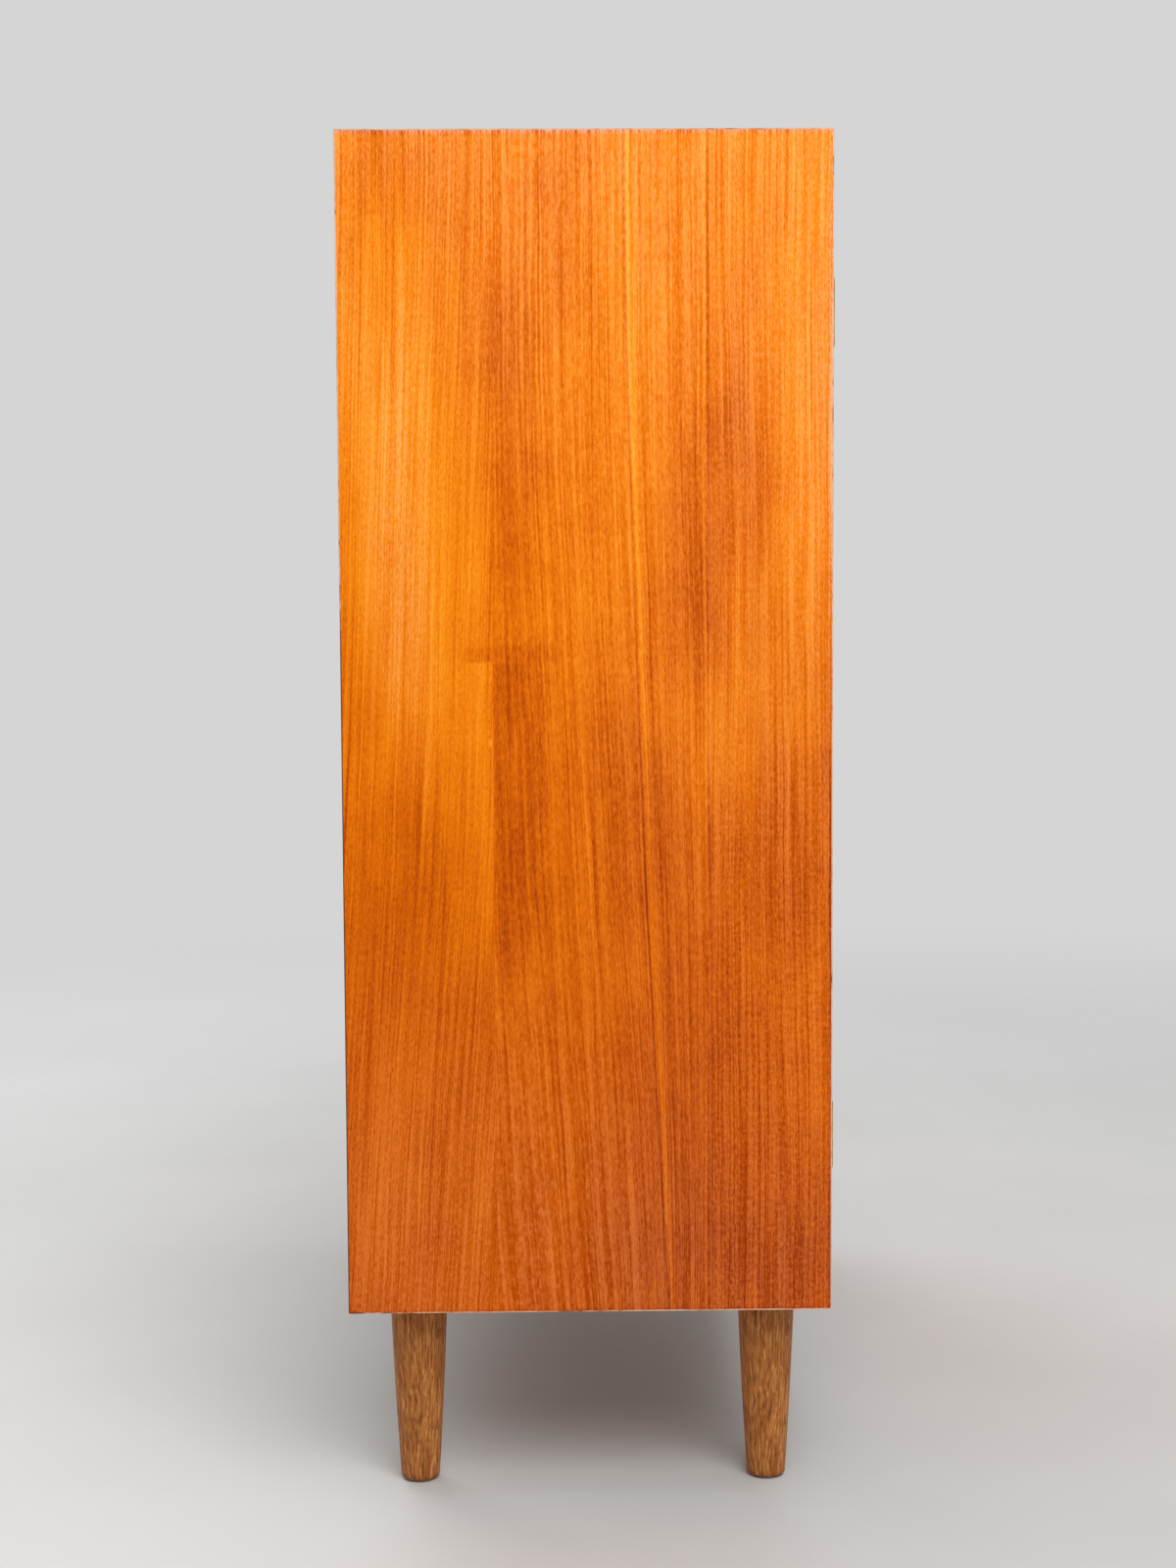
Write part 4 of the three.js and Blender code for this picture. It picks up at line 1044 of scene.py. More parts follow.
# The top gets twice the usual whitish painted sheen.
veneer_top = teak_veneer(
    "teak_top", FRONT, RIGHT, top_middle, 11.0, level=0.31, seam=-0.07, tilt=0.0, pale=0.6,
    stops=LIPPING_STOPS,
)
veneer_under = teak_veneer(
    "teak_under", FRONT, RIGHT, top_middle, 14.0, level=0.22, seam=-0.02, tilt=0.0, stops=SHADED_STOPS
)
across_woods = edge_wear, across_lipping, inner_across
case_board("top_panel", 2, case_high.z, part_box("top_panel")[0].z, veneer_top, *across_woods)
case_board("bottom_panel", 2, case_low.z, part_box("bottom_panel")[1].z, veneer_under, *across_woods)

# %% Divider and shelves
DIVIDER_EASE, SHELF_EASE = 0.6, 0.7

divider_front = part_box("centre_divider")[0].y
divider = copy_of("centre_divider", "veneered_divider", inner_sides, edge_wear, upright_lipping)
ease(divider, lambda edge: lies_on(edge, 1, divider_front) and runs_along(edge, 2), DIVIDER_EASE)
paint(divider, LIPPING, 1, divider_front)
dress(divider, "carcass", "teak", "centre_divider")
for node, seed in (("shelf_lower", 41.0), ("shelf_upper", 44.0)):
    veneer = teak_veneer(
        "teak_" + node, FRONT, RIGHT, middle_of(node), seed, level=0.25, tilt=0.0, stops=SHADED_STOPS
    )
    shelf = copy_of(node, "veneered_" + node, veneer, edge_wear, across_lipping)
    ease(shelf, lambda edge: True, SHELF_EASE)
    paint(shelf, LIPPING, 1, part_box(node)[0].y)
    dress(shelf, "carcass", "teak", node)
print("the inside has a divider and two shelves")

# %% [markdown]
# ## Back
#
# The back is a thin sheet of plywood that lies in a rebate all round and holds the case square. It
# is fixed with countersunk screws, whose heads lie just below its surface, along its four sides
# and down the divider.

# %% Back panel with its screws
BACK_FACE, BACK_SCREW_DEPTH = 257, 0.3
HOLE_DEPTH, HOLE_RADIUS, FROM_EDGE = 1.6, 2.5, 6
SCREW_ROWS = (260, 440, 620, 800, 980, 1160, 1290)
SCREW_COLUMNS = (-400, -240, -90, 90, 240, 400)

back_low, back_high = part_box("back_panel")
back = copy_of("back_panel", "plywood_back")
places = list(product((back_low.x / MM + FROM_EDGE, 0, back_high.x / MM - FROM_EDGE), SCREW_ROWS))
for z in (back_low.z / MM + FROM_EDGE, back_high.z / MM - FROM_EDGE):
    places += [(x, z) for x in SCREW_COLUMNS]
holes = [
    rod("hole", (x, BACK_FACE - HOLE_DEPTH, z), (x, BACK_FACE + 1, z), HOLE_RADIUS, 20) for x, z in places
]
combine(back, gathered("holes", holes))
dress(back, "carcass", "plywood", "back_panel")
places = [(x, BACK_FACE - BACK_SCREW_DEPTH, z) for x, z in places]
dress(screws(small_head, "steel_back_screws", BACK, places, 0), "carcass", "steel")
print("the back has", len(places), "screws")

# %% [markdown]
# ## Doors
#
# The doors are what one looks at first, so their veneer is crown-cut: slices near the outside of
# the log, whose rings show as tall arches. Both doors come from one log, so their figures are near
# relatives. All four edges are lipped.

# %% Door boards
FRONT_EASE, BACK_EASE = 0.8, 0.6

door_lipping = teak_solid("teak_door_lipping", FRONT, UP, side_foot, 26.0)
for side, seed in (("left", 51.0), ("right", 52.4)):
    node = "door_" + side
    low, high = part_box(node)
    foot = Vector(((low.x + high.x) / 2, low.y, low.z))
    # Each door is painted a little brighter towards its top by fall, as light from above.
    veneer = teak_veneer(
        "teak_" + node, RIGHT, UP, foot, seed, level=0.26, fall=0.05, seam=10.0, tilt=0.0, arch=1.0,
        sheen_clouds=0.3,
    )
    inside = teak_veneer(
        "teak_inside_" + node, RIGHT, UP, foot, seed + 7, level=0.26, seam=-0.06, tilt=0.0,
        stops=SHADED_STOPS,
    )
    door = copy_of(node, "veneered_" + node, veneer, edge_wear, door_lipping, inside)
    sides = ((0, low.x), (0, high.x), (2, low.z), (2, high.z))
    found = ease(door, rim_of(1, low.y, *sides), FRONT_EASE)
    ease(door, rim_of(1, high.y, *sides), BACK_EASE)
    paint(door, LIPPING)
    paint(door, OUTER, 1, low.y)
    paint(door, INNER, 1, high.y)
    dress(door, side + "_door", "teak", node)
    print("eased", found, "edges of", node)

# %% [markdown]
# ## Legs
#
# A leg is turned on a lathe from one square of hardwood: a long taper with a slight swell, so that
# it doesn't look pinched, and a foot that is rounded over so it can't splinter when the wardrobe is
# dragged. A lathe is what Blender's spin does. One leg is made, bored for its bolt, and copied. The
# frame's own bolts in the legs are right as they are, and only get the steel.

# %% Turned legs
TOP_RADIUS, FOOT_RADIUS, SWELL, FOOT_ROUNDING = 29, 19.3, 0.7, 6
BORE_RADIUS, BORE_DEPTH = 4.3, 45.3
CORNERS = ("front_left", "front_right", "rear_left", "rear_right")
leg_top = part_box("leg_front_left")[1].z / MM


def leg_radius(z):
    """A leg's radius at a height: a straight taper with a swell, most of it halfway up."""
    t = z / leg_top
    return FOOT_RADIUS + (TOP_RADIUS - FOOT_RADIUS) * t + SWELL * 4 * t * (1 - t)


flat = leg_radius(FOOT_ROUNDING) - FOOT_ROUNDING
turns = [i / 8 * pi / 2 for i in range(9)]
profile = [(0, 0), (flat * 0.5, 0)]
profile += [(flat + FOOT_ROUNDING * sin(a), FOOT_ROUNDING * (1 - cos(a))) for a in turns]
profile += [(leg_radius(z), z) for z in (20, 40, 60, 80, 100, 120, 140, 160, 175, leg_top - 1)]
profile += [(leg_radius(leg_top) - 0.4, leg_top), (BORE_RADIUS, leg_top)]
profile += [(BORE_RADIUS, leg_top - BORE_DEPTH), (0, leg_top - BORE_DEPTH)]
leg_model = turned("leg_model", profile, sides=72)
for seed, corner in enumerate(CORNERS):
    node = "leg_" + corner
    middle = middle_of(node)
    leg = repeat(leg_model, "turned_" + node, Matrix.Translation((middle.x, middle.y, 0)))
    leg.data.materials.append(leg_wood(node, middle, seed))
    dress(leg, "carcass", "leg_wood", node)
    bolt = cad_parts["leg_bolt_" + corner].data
    bolt.materials.clear()
    bolt.materials.append(steel)
remove(leg_model)
print("turned", len(CORNERS), "legs,", round(leg_top), "mm tall")

# %% [markdown]
# ## Handles
#
# Each door has an arched pull: a bow that springs from two feet and leaves room for the fingers.
# Such a pull is band-sawn from a block and then rounded over along its edges. Blender's flat curves
# do just that: the outline is drawn once from the side, thickened, and its rim rounded inwards.

# %% Arched handles
HANDLE_LENGTH, HANDLE_REACH, HANDLE_WIDTH = 180, 30, 16
HANDLE_FOOT, HANDLE_GRIP, HANDLE_TIP, HANDLE_ROUNDING = 28, 11, 5, 3.2


def bow_curve(*corners, steps=14):
    """Points on a Bezier curve of four corners, without its start."""
    points = []
    for i in range(1, steps + 1):
        t = i / steps
        weights = ((1 - t) ** 3, 3 * t * (1 - t) ** 2, 3 * t * t * (1 - t), t**3)
        points.append(tuple(sum(w * c[k] for w, c in zip(weights, corners)) for k in (0, 1)))
    return points


def handle_outline():
    """The handle from the side: how far it stands out, and its place along the door."""
    end, reach = HANDLE_LENGTH / 2, HANDLE_REACH
    gap, under = end - HANDLE_FOOT, HANDLE_REACH - HANDLE_GRIP
    rise = bow_curve((HANDLE_TIP, -end), (0.6 * reach, -0.93 * end), (reach, -0.56 * end), (reach, 0))
    fall = [(y, -z) for y, z in reversed(rise[:-1])] + [(HANDLE_TIP, end)]
    inner = bow_curve((0, gap), (0.74 * under, 0.9 * gap), (under, 0.48 * gap), (under, 0))
    back = [(y, -z) for y, z in reversed(inner[:-1])] + [(0, -gap)]
    return [(0, -end), (HANDLE_TIP, -end)] + rise + fall + [(0, end), (0, gap)] + inner + back


curve = bpy.data.curves.new("handle_outline", "CURVE")
curve.dimensions = "2D"
curve.fill_mode = "BOTH"
curve.extrude = (HANDLE_WIDTH / 2 - HANDLE_ROUNDING) * MM
curve.bevel_depth = HANDLE_ROUNDING * MM
curve.bevel_resolution = 4
curve.offset = -HANDLE_ROUNDING * MM
line = curve.splines.new("POLY")
outline = handle_outline()
line.points.add(len(outline) - 1)
for point, (out, along) in zip(line.points, outline):
    point.co = (out * MM, along * MM, 0, 1)
line.use_cyclic_u = True
handle = bpy.data.objects.new("handle_model", curve)
bpy.context.collection.objects.link(handle)
choose(handle)
bpy.ops.object.convert(target="MESH")
handle = bpy.context.object
with editing(handle):
    close_up(handle)
print("the outline has", len(outline), "points")

# %% [markdown]
# The outline's first axis stands out from the door, and its second runs up the door. So a turn
# sends X to the front and Y upwards before a handle goes to its place.

# %% Two handles
stand = Matrix(((0, 0, 1, 0), (-1, 0, 0, 0), (0, 1, 0, 0), (0, 0, 0, 1)))
for side, seed in (("left", 3.0), ("right", 8.0)):
    node = "handle_" + side
    place = middle_of(node)
    place.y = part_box(node)[1].y
    piece = repeat(handle, "arched_" + node, Matrix.Translation(place) @ stand)
    wood = teak_solid(node + "_teak", RIGHT, UP, place, seed, level=0.36, stops=SHADED_STOPS)
    piece.data.materials.append(wood)
    dress(piece, side + "_door", "teak", node)
remove(handle)
print("carved two handles")

# %% [markdown]
# ## Hinges
#
# A slim brass butt hinge is two leaves whose edges are rolled into knuckles round a pin with a low
# button at each end. The leaves and half of each knuckle are let into the door's edge and the case,
# so only a thin brass roll shows when a door is shut. A leaf is made as a plate and its knuckles,
# joined into one solid and softened. One hinge is made, then copied up the door, and turned over
# for the right-hand door.

# %% Hinge leaves and pin
PLATE, PLATE_DEPTH, KNUCKLE, HINGE_HEIGHT, PIN = 1.6, 15, 3.0, 64, 1.3
PLAY, KNUCKLE_GAP = 0.3, 0.15
SCREW_DEPTH, SCREW_STEPS = 9.8, (-24, 0, 24)
HINGE_X, HINGE_Y, LOWER_Z, UPPER_Z = -479.0, front_y / MM - 0.3, 362.0, 1173.0
case_plate = (HINGE_X - 1 - PLATE, HINGE_X - 1)
door_plate = (HINGE_X + 1, HINGE_X + 1 + PLATE)


def on_hinge(z):
    """A point on the hinge's axis, from the height above its middle."""
    return (HINGE_X, HINGE_Y, LOWER_Z + z)


def hinge_leaf(name, x, knuckles):
    """A leaf between two x, with knuckles on the given spans either side of the hinge's middle."""
    bottom, top = LOWER_Z - HINGE_HEIGHT / 2, LOWER_Z + HINGE_HEIGHT / 2
    plate_y = HINGE_Y + KNUCKLE + PLAY
    leaf = box(name, (x[0], plate_y, bottom), (x[1], HINGE_Y + PLAY + PLATE_DEPTH, top))
    soften(leaf, 0.25)
    for low, high in knuckles:
        neck = box("neck", (x[0], HINGE_Y, LOWER_Z + low), (x[1], plate_y + PLATE, LOWER_Z + high))
        roll = soften(rod("roll", on_hinge(low), on_hinge(high), KNUCKLE, 40), 0.3)
        combine(leaf, combine(roll, neck, "UNION"), "UNION")
    return combine(leaf, rod("bore", on_hinge(-HINGE_HEIGHT), on_hinge(HINGE_HEIGHT), PIN + PLAY, 24))


third = HINGE_HEIGHT / 6
outer_knuckles = [(-3 * third, -third - KNUCKLE_GAP), (third + KNUCKLE_GAP, 3 * third)]
case_leaf = hinge_leaf("case_leaf", case_plate, outer_knuckles)
door_leaf = hinge_leaf("door_leaf", door_plate, [(-third + KNUCKLE_GAP, third - KNUCKLE_GAP)])
button = [(PIN, 32.3), (2.7, 32.32), (2.8, 32.45), (2.8, 33.0), (2.6, 33.5), (2.1, 33.9)]
button += [(1.4, 34.15), (0.7, 34.27), (0, 34.3)]
hinge_pin = turned("pin", [(r, -z) for r, z in reversed(button)] + button, sides=32)
moved(hinge_pin, shift(*on_hinge(0)))
places = [(HINGE_Y + SCREW_DEPTH, LOWER_Z + z) for z in SCREW_STEPS]
case_screws = screws(small_head, "case_screws", RIGHT, [(case_plate[1], *place) for place in places])
door_screws = screws(small_head, "door_screws", LEFT, [(door_plate[0], *place) for place in places])
print("modelled one hinge,", HINGE_HEIGHT, "mm tall")

# %% Four hinges from one
hinge_models = {
    "hinge_case_leaf_": case_leaf, "hinge_door_leaf_": door_leaf, "hinge_pin_": hinge_pin,
    "case_screws_": case_screws, "door_screws_": door_screws,
}
hinge_places = {
    "left_lower": Matrix(),
    "left_upper": shift(0, 0, UPPER_Z - LOWER_Z),
    "right_lower": turned_over(HINGE_X, LOWER_Z, LOWER_Z, -HINGE_X),
    "right_upper": turned_over(HINGE_X, LOWER_Z, UPPER_Z, -HINGE_X),
}
for where, matrix in hinge_places.items():
    for prefix, model in hinge_models.items():
        body = where.split("_")[0] + "_door" if "door" in prefix else "carcass"
        nodes = [prefix + where] if prefix.startswith("hinge") else []
        dress(repeat(model, "brass_" + prefix + where, matrix), body, "brass", *nodes)
remove(*hinge_models.values())
print("hung", len(hinge_places), "hinges")

# %% [markdown]
# ## Lock and key
#
# The lock sits in a pocket in the right door's edge. What shows is its faceplate, let in flush,
# the end of its bolt, the oval escutcheon round the keyhole and the key. The left door has the
# strike plate that the bolt shoots into. The plates are the frame's own solids, softened. The
# escutcheon and the key are new, because their shapes are what a hand and an eye meet first.

# %% Lock plates and bolt
PLATE_SCREW_Y = -214.0


def screwed_plate(node, name, body, direction, x, heights):
    """A plate of the frame, softened, with two screws in it."""
    plate = soften(copy_of(node, "plate"), 0.2)
    places = [(x, PLATE_SCREW_Y, z) for z in heights]
    heads = screws(small_head, "plate_screws", direction, places)
    dress(gathered(name, [plate, heads]), body, "brass", node)


screwed_plate("lock_case", "lock_faceplate_and_case", "right_door", LEFT, 1.0, (632.6, 687.4))
dress(soften(copy_of("lock_bolt", "brass_lock_bolt"), 0.6, 3), "lock_bolt", "brass", "lock_bolt")
screwed_plate("strike_plate", "brass_strike_plate", "left_door", RIGHT, -1.0, (650.6, 683.4))
print("set the lock's faceplate, bolt and strike plate")

# %% Escutcheon
KEY_X, KEY_Z = 25.0, 655.0
OVAL_HALF_WIDTH, OVAL_HALF_HEIGHT, OVAL_RIM = 8.5, 17, 0.6
KEYHOLE_RADIUS, SLIT_WIDTH, SLIT_DEPTH = 3.2, 3.8, 8.7

bpy.ops.mesh.primitive_circle_add(vertices=64, radius=1, fill_type="NGON", rotation=(pi / 2, 0, 0))
escutcheon = bpy.context.object
escutcheon.scale = mm(OVAL_HALF_WIDTH, 17, OVAL_HALF_HEIGHT)
escutcheon.location = mm(KEY_X, front_y / MM, KEY_Z - 2)
settle(escutcheon, "oval_escutcheon")
with editing(escutcheon):
    bpy.ops.mesh.extrude_region_move(TRANSFORM_OT_translate={"value": (0, -1 * MM, 0)})
    bpy.ops.mesh.select_all(action="SELECT")
    bpy.ops.mesh.normals_make_consistent(inside=False)
ease(escutcheon, lambda edge: lies_on(edge, 1, front_y - MM), OVAL_RIM, 4, 0)
throat = rod("throat", (KEY_X, -230, KEY_Z), (KEY_X, -215, KEY_Z), KEYHOLE_RADIUS)
half = SLIT_WIDTH / 2
slit = box("slit", (KEY_X - half, -230, KEY_Z - SLIT_DEPTH), (KEY_X + half, -215, KEY_Z))
combine(escutcheon, combine(throat, slit, "UNION"))
places = [(KEY_X, -223.98, KEY_Z - 15.6), (KEY_X, -223.98, KEY_Z + 11.6)]
pins = screws(tiny_head, "escutcheon_pins", FRONT, places, -0.1)
dress(gathered("oval_escutcheon", [escutcheon, pins]), "right_door", "brass", "escutcheon")
print("pinned the escutcheon")

# %% Key
KEY_TIP, KEY_END = -210.6, -257
BOW_RADIUS, BOW_THICKNESS, BOW_FLATNESS, BIT_WIDTH = 9, 2, 0.75, 2.4

bow_height = (BOW_RADIUS + 0.5) / (BOW_RADIUS + BOW_THICKNESS)
bpy.ops.mesh.primitive_torus_add(
    major_segments=64, minor_segments=16, major_radius=BOW_RADIUS * MM, minor_radius=BOW_THICKNESS * MM,
    location=mm(KEY_X, KEY_END + 9.5, KEY_Z), rotation=(0, pi / 2, 0),
)
bow = bpy.context.object
bow.scale = (1, bow_height, BOW_FLATNESS)
settle(bow, "key_bow")
shank = [(0, KEY_TIP), (1.9, KEY_TIP), (2.5, KEY_TIP - 0.6), (2.5, -229.6), (3.4, -230.0), (4.0, -230.7)]
shank += [(4.0, -232.3), (3.3, -232.9), (2.4, -233.3), (2.4, -234.0), (3.1, -234.6), (3.1, -235.4)]
shank += [(2.3, -236.2), (1.9, -237.4), (1.9, -240.4), (0, -240.4)]
stem = turned("key_stem", [(r, -y) for r, y in shank], sides=32)
moved(stem, facing(FRONT, mm(KEY_X, 0, KEY_Z)))
half = BIT_WIDTH / 2
bit = box("key_bit", (KEY_X - half, KEY_TIP - 6.5, KEY_Z - 8), (KEY_X + half, KEY_TIP - 1.5, KEY_Z - 1))
for y in (KEY_TIP - 5.2, KEY_TIP - 3.0):
    combine(bit, box("ward", (KEY_X - 2, y - 0.45, KEY_Z - 9), (KEY_X + 2, y + 0.45, KEY_Z - 5)))
soften(bit, 0.2)
key = combine(combine(bow, stem, "UNION"), bit, "UNION")
key.name = "turned_key"
dress(key, "key", "brass", "key")
print("cut a key of", round(KEY_TIP - KEY_END, 1), "mm")

# %% [markdown]
# ## Slide bolts
#
# The left door is held by two small brass bolts on its inner face, one at the top and one at the
# foot. A bolt is a round rod with a turned knob, which slides in two loops on a plate. The top
# one is modelled, and the bottom one is the same thing turned over.

# %% Bracket and bolt
BOLT_X, BOLT_Y, DOOR_BACK = -30.0, -198.7, -205.0
BRACKET_Z, LOOPS_Z, KNOB_Z = (1253, 1313), (1257, 1300), 1277
BRACKET_HALF, LOOP_HALF, BORE = 11, 6.3, 4.3
TURNED_FROM, TURNED_TO = 1323, 212


def is_deep(edge):
    """Whether an edge runs through a plate, from its back to its face."""
    return runs_along(edge, 1)


def is_over(edge):
    """Whether an edge lies along a loop's outer side, over the bolt."""
    return lies_on(edge, 1, (BOLT_Y + LOOP_HALF) * MM) and runs_along(edge, 2)


low_z, high_z = BRACKET_Z
corner = (BOLT_X + BRACKET_HALF, DOOR_BACK + 2, high_z)
bracket = box("bracket", (BOLT_X - BRACKET_HALF, DOOR_BACK, low_z), corner)
ease(bracket, is_deep, 2.5, 4, 0)
soften(bracket, 0.35)
for z in LOOPS_Z:
    corner = (BOLT_X + LOOP_HALF, BOLT_Y + LOOP_HALF, z + 9)
    loop = box("loop", (BOLT_X - LOOP_HALF, DOOR_BACK + 1, z), corner)
    ease(loop, is_over, 4.5, 5, 0)
    soften(loop, 0.4)
    combine(loop, rod("bore", (BOLT_X, BOLT_Y, z - 5), (BOLT_X, BOLT_Y, z + 15), BORE))
    combine(bracket, loop, "UNION")
corners = [(BOLT_X + aside, DOOR_BACK + 2, z) for aside in (-8, 8) for z in (1271, 1295)]
bracket = gathered("bracket", [bracket, screws(tiny_head, "bracket_screws", BACK, corners)])
slide = [(0, 1249), (3.2, 1249), (4, 1249.8), (4, 1320.2), (3.2, 1321.6), (2, 1322), (0, 1322)]
slide = moved(turned("slide", slide, 32), shift(BOLT_X, BOLT_Y, 0))
knob = [(0, 0), (2.2, 0), (2.0, 5.2), (1.6, 6.4), (1.6, 7.2), (2.4, 8.0), (3.0, 9.0), (3.0, 10.2)]
knob = turned("knob", knob + [(2.5, 11.2), (1.4, 11.85), (0, 12)], 32)
combine(slide, moved(knob, facing(BACK, mm(BOLT_X, BOLT_Y, KNOB_Z))), "UNION")
for where, matrix in (("top", Matrix()), ("bottom", turned_over(BOLT_X, TURNED_FROM, TURNED_TO, BOLT_X))):
    piece = repeat(bracket, "brass_bracket_" + where, matrix)
    dress(piece, "left_door", "brass", "slide_bolt_bracket_" + where)
    piece = repeat(slide, "brass_slide_bolt_" + where, matrix)
    dress(piece, where + "_bolt", "brass", "slide_bolt_" + where)
remove(bracket, slide)
print("fitted two slide bolts")

# %% [markdown]
# ## Hanging rail and shelf pins
#
# Behind the left door hangs a turned beech rail between two brass cups. Behind the right door, two
# shelves lie on brass pins, which plug into rows of holes. All of these are round, so each is
# turned once on Z and then stood on the side it belongs to.

# %% Rail and cups
rail_low, rail_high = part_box("hanging_rail")
rail_middle = middle_of("hanging_rail")
half = (rail_high.x - rail_low.x) / MM / 2
profile = [(0, -half), (11.8, -half), (12.5, -half + 0.7), (12.5, half - 0.7), (11.8, half), (0, half)]
rail = moved(turned("beech_rail", profile, 56), facing(RIGHT, rail_middle))
dress(rail, "carcass", "beech", "hanging_rail")
cup = [(0, 0), (20, 0), (20, 2.4), (19.5, 3), (18.4, 3.4), (16.9, 4.4), (16.5, 5.2), (16.5, 11.2)]
cup += [(16.1, 11.8), (15.4, 12), (13.4, 12), (12.8, 11.4), (12.8, 3), (0, 3)]
cup = turned("cup", cup, 56)
for side, direction, end in (("left", RIGHT, 0), ("right", LEFT, 1)):
    node = "rail_socket_" + side
    foot = Vector((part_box(node)[end].x, rail_middle.y, rail_middle.z))
    dress(repeat(cup, "brass_" + node, facing(direction, foot)), "carcass", "brass", node)
remove(cup)
print("hung the rail,", round(2 * half), "mm long")

# %% Shelf pins
pin = [(0, -9), (1.9, -9), (2.5, -8.2), (2.5, 0.3), (3.7, 0.3), (4, 0.5), (4, 1.1), (3.7, 1.3), (2.5, 1.3)]
pin = turned("pin", pin + [(2.5, 8.2), (2.2, 8.8), (1.5, 9), (0, 9)], 28)
for height, row, side in product(("lower", "upper"), ("front", "rear"), ("left", "right")):
    node = f"shelf_pin_{height}_{row}_{side}"
    direction = RIGHT if side == "left" else LEFT
    dress(repeat(pin, "brass_" + node, facing(direction, middle_of(node))), "carcass", "brass", node)
remove(pin)
print("plugged in the shelf pins")

# %% [markdown]
# ## Steel fixings
#
# Inside the case, on its floor, four flanged nuts are let in flush. The bolts of the legs come up
# into them. Two screws hold each handle from inside its door. Zinc-plated steel looks cooler and
# duller than brass. These are small, so a turned shape with a few cuts is enough.

# %% Flanged nuts
NOTCH_RADIUS, NOTCHES_OUT = 1.5, 8.6

nut = [(5.3, 0), (5.3, 10.5), (11.6, 10.5), (12, 10.8), (12, 11.7), (11.7, 12), (4.8, 12)]
nut = turned("nut", nut + [(4.3, 11.5), (4.3, 0.4), (4.6, 0), (5.3, 0)], 40)
for angle in (0.5, 0.5 + 2 * pi / 3, 0.5 + 4 * pi / 3):
    x, y = NOTCHES_OUT * cos(angle), NOTCHES_OUT * sin(angle)
    combine(nut, rod("notch", (x, y, 9), (x, y, 14), NOTCH_RADIUS, 16))
for corner in CORNERS:
    node = "tee_nut_" + corner
    foot = middle_of(node)
    foot.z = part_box(node)[0].z
    dress(repeat(nut, "steel_nut_" + corner, Matrix.Translation(foot)), "carcass", "steel", node)
remove(nut)
print("let in", len(CORNERS), "nuts")

# %% Handle screws
HEAD_HEIGHT = 2.4

screw = [(0, -26.7), (1, -26.7), (2, -24.7), (2, 0), (3.8, 0), (4, 0.25), (4, 0.9), (3.6, 1.6)]
screw = turned("screw", screw + [(2.6, 2.2), (1.2, HEAD_HEIGHT), (0, HEAD_HEIGHT)], 32)
for angle in (0.0, pi / 2):
    blade = box("cross", (-2.2, -0.4, 1.2), (2.2, 0.4, 4))
    combine(screw, moved(blade, Matrix.Rotation(angle, 4, "Z")))
for side, height in product(("left", "right"), ("lower", "upper")):
    node = f"handle_screw_{side}_{height}"
    head = middle_of(node)
    head.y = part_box(node)[1].y - HEAD_HEIGHT * MM
    dress(repeat(screw, "steel_" + node, facing(BACK, head)), side + "_door", "steel", node)
remove(screw, small_head, tiny_head)
print("drove the last screws")

# %% [markdown]
# ## Floor and light
#
# The floor is a pale, plain, very large disc. Near the wardrobe it is paint that takes shadows.
# Further out it fades into the tone of the background, so that no horizon shows. The same switch
# serves the world: what a camera or a reflection sees is the plain backdrop, and all other rays
# find the soft light of the room.

# %% Floor
BACKDROP = (0.660, 0.665, 0.660)
FLOOR_STOPS = [(0.3, (0.565, 0.568, 0.560)), (0.7, (0.615, 0.617, 0.607))]


def direct_look(tree):
    """1 for rays from the camera, or by way of a reflection or glass, else 0."""
    rays = add("LightPath", {}, tree).outputs
    seen, mirrored, refracted = (Term(rays[f"Is {k} Ray"]) for k in ("Camera", "Glossy", "Transmission"))
    return maths("MAXIMUM", seen, maths("MAXIMUM", mirrored, refracted))


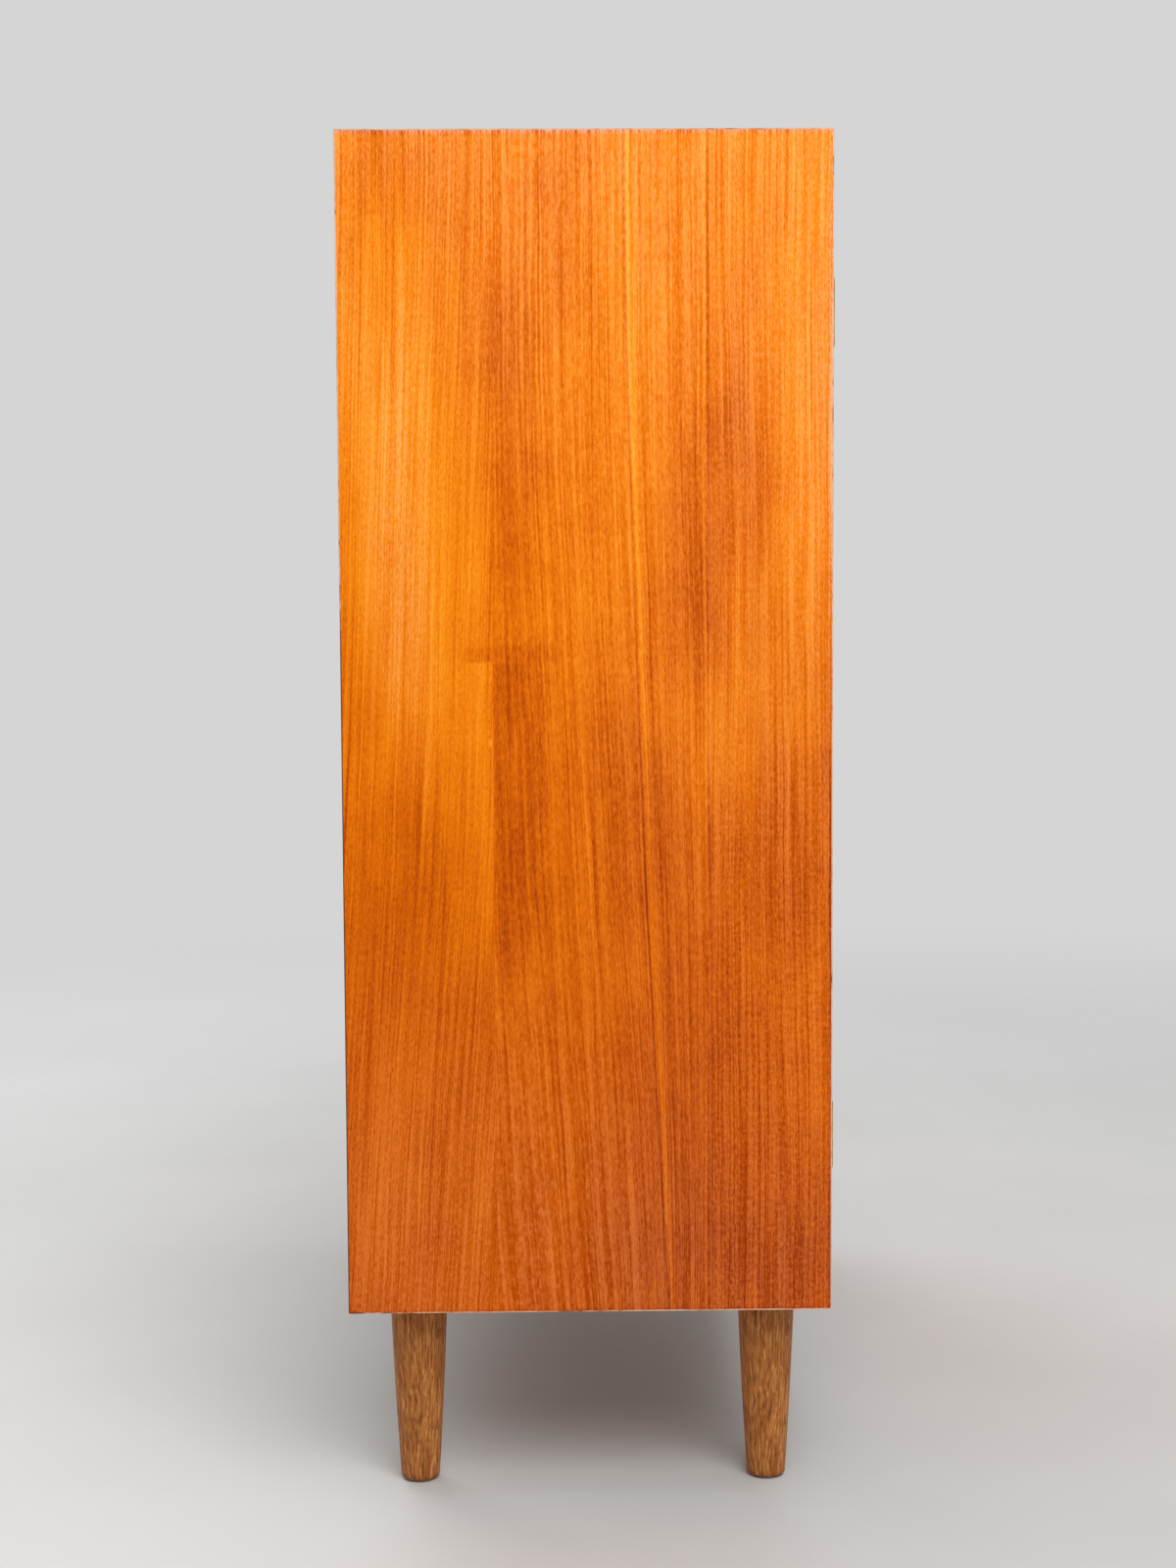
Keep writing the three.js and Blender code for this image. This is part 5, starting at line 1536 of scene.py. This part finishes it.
bpy.ops.mesh.primitive_circle_add(vertices=96, radius=60, fill_type="NGON")
floor = bpy.context.object
floor.name = "floor"
floor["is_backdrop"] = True
floor_paint, surface, position = open_material("floor_paint")
tree = floor_paint.node_tree
x, y, z = parts(position)
stains = noise(x, y, z, (1.4, 1.4, 1), detail=4.0, roughness=0.6)
cover(surface, ramp(stains, FLOOR_STOPS), 0.5, specular=0.3)
away = term("VectorMath", {0: position}, "Value", operation="LENGTH")
faded = smooth(away, 0.7, 4.2) * direct_look(tree)
far = add("Emission", {"Color": BACKDROP, "Strength": 1.0}, tree)
mixed = add("MixShader", {0: faded, 1: surface.outputs[0], 2: far.outputs[0]})
put(mixed.outputs[0], tree.nodes["Material Output"].inputs["Surface"])
floor.data.materials.append(floor_paint)
print("laid the floor")

# %% [markdown]
# Three square lamps light it softly. The key stands high on the left and towards the front, so it
# serves the side panel and the doors alike and leaves the top of a board brighter than its foot.
# One lamp hangs overhead, and a weaker one fills the back and the right.

# %% Lamps and world
def lamp(name, place, target, size, power):
    """A square soft lamp at a place, turned to face a target, and not seen itself."""
    data = bpy.data.lights.new(name, "AREA")
    data.size = size
    data.energy = power
    made = bpy.data.objects.new(name, data)
    bpy.context.collection.objects.link(made)
    made.location = place
    made.rotation_euler = (Vector(target) - Vector(place)).to_track_quat("-Z", "Y").to_euler()
    made.visible_camera = False


lamp("key", (-2.6, -0.75, 2.9), (-0.4, 0.0, 0.85), size=2.2, power=79)
lamp("overhead", (0.0, -0.4, 4.2), (0, 0, 0), size=3.0, power=32)
lamp("fill", (2.9, 1.9, 2.5), (0, 0, 0.7), size=2.4, power=62)
world = bpy.data.worlds.new("studio")
bpy.context.scene.world = world
world.use_nodes = True
tree = world.node_tree
room = tree.nodes["Background"]
put((0.96, 0.98, 1.0), room.inputs["Color"])
put(0.5, room.inputs["Strength"])
seen = add("Background", {"Color": BACKDROP, "Strength": 1.0}, tree)
both = add("MixShader", {0: direct_look(tree), 1: room.outputs[0], 2: seen.outputs[0]})
put(both.outputs[0], tree.nodes["World Output"].inputs["Surface"])
bpy.context.scene.view_settings.view_transform = "Standard"
print("lit by", len(bpy.data.lights), "lamps and the room")

# %% Sizes
low, high = (tuple(corner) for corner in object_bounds())
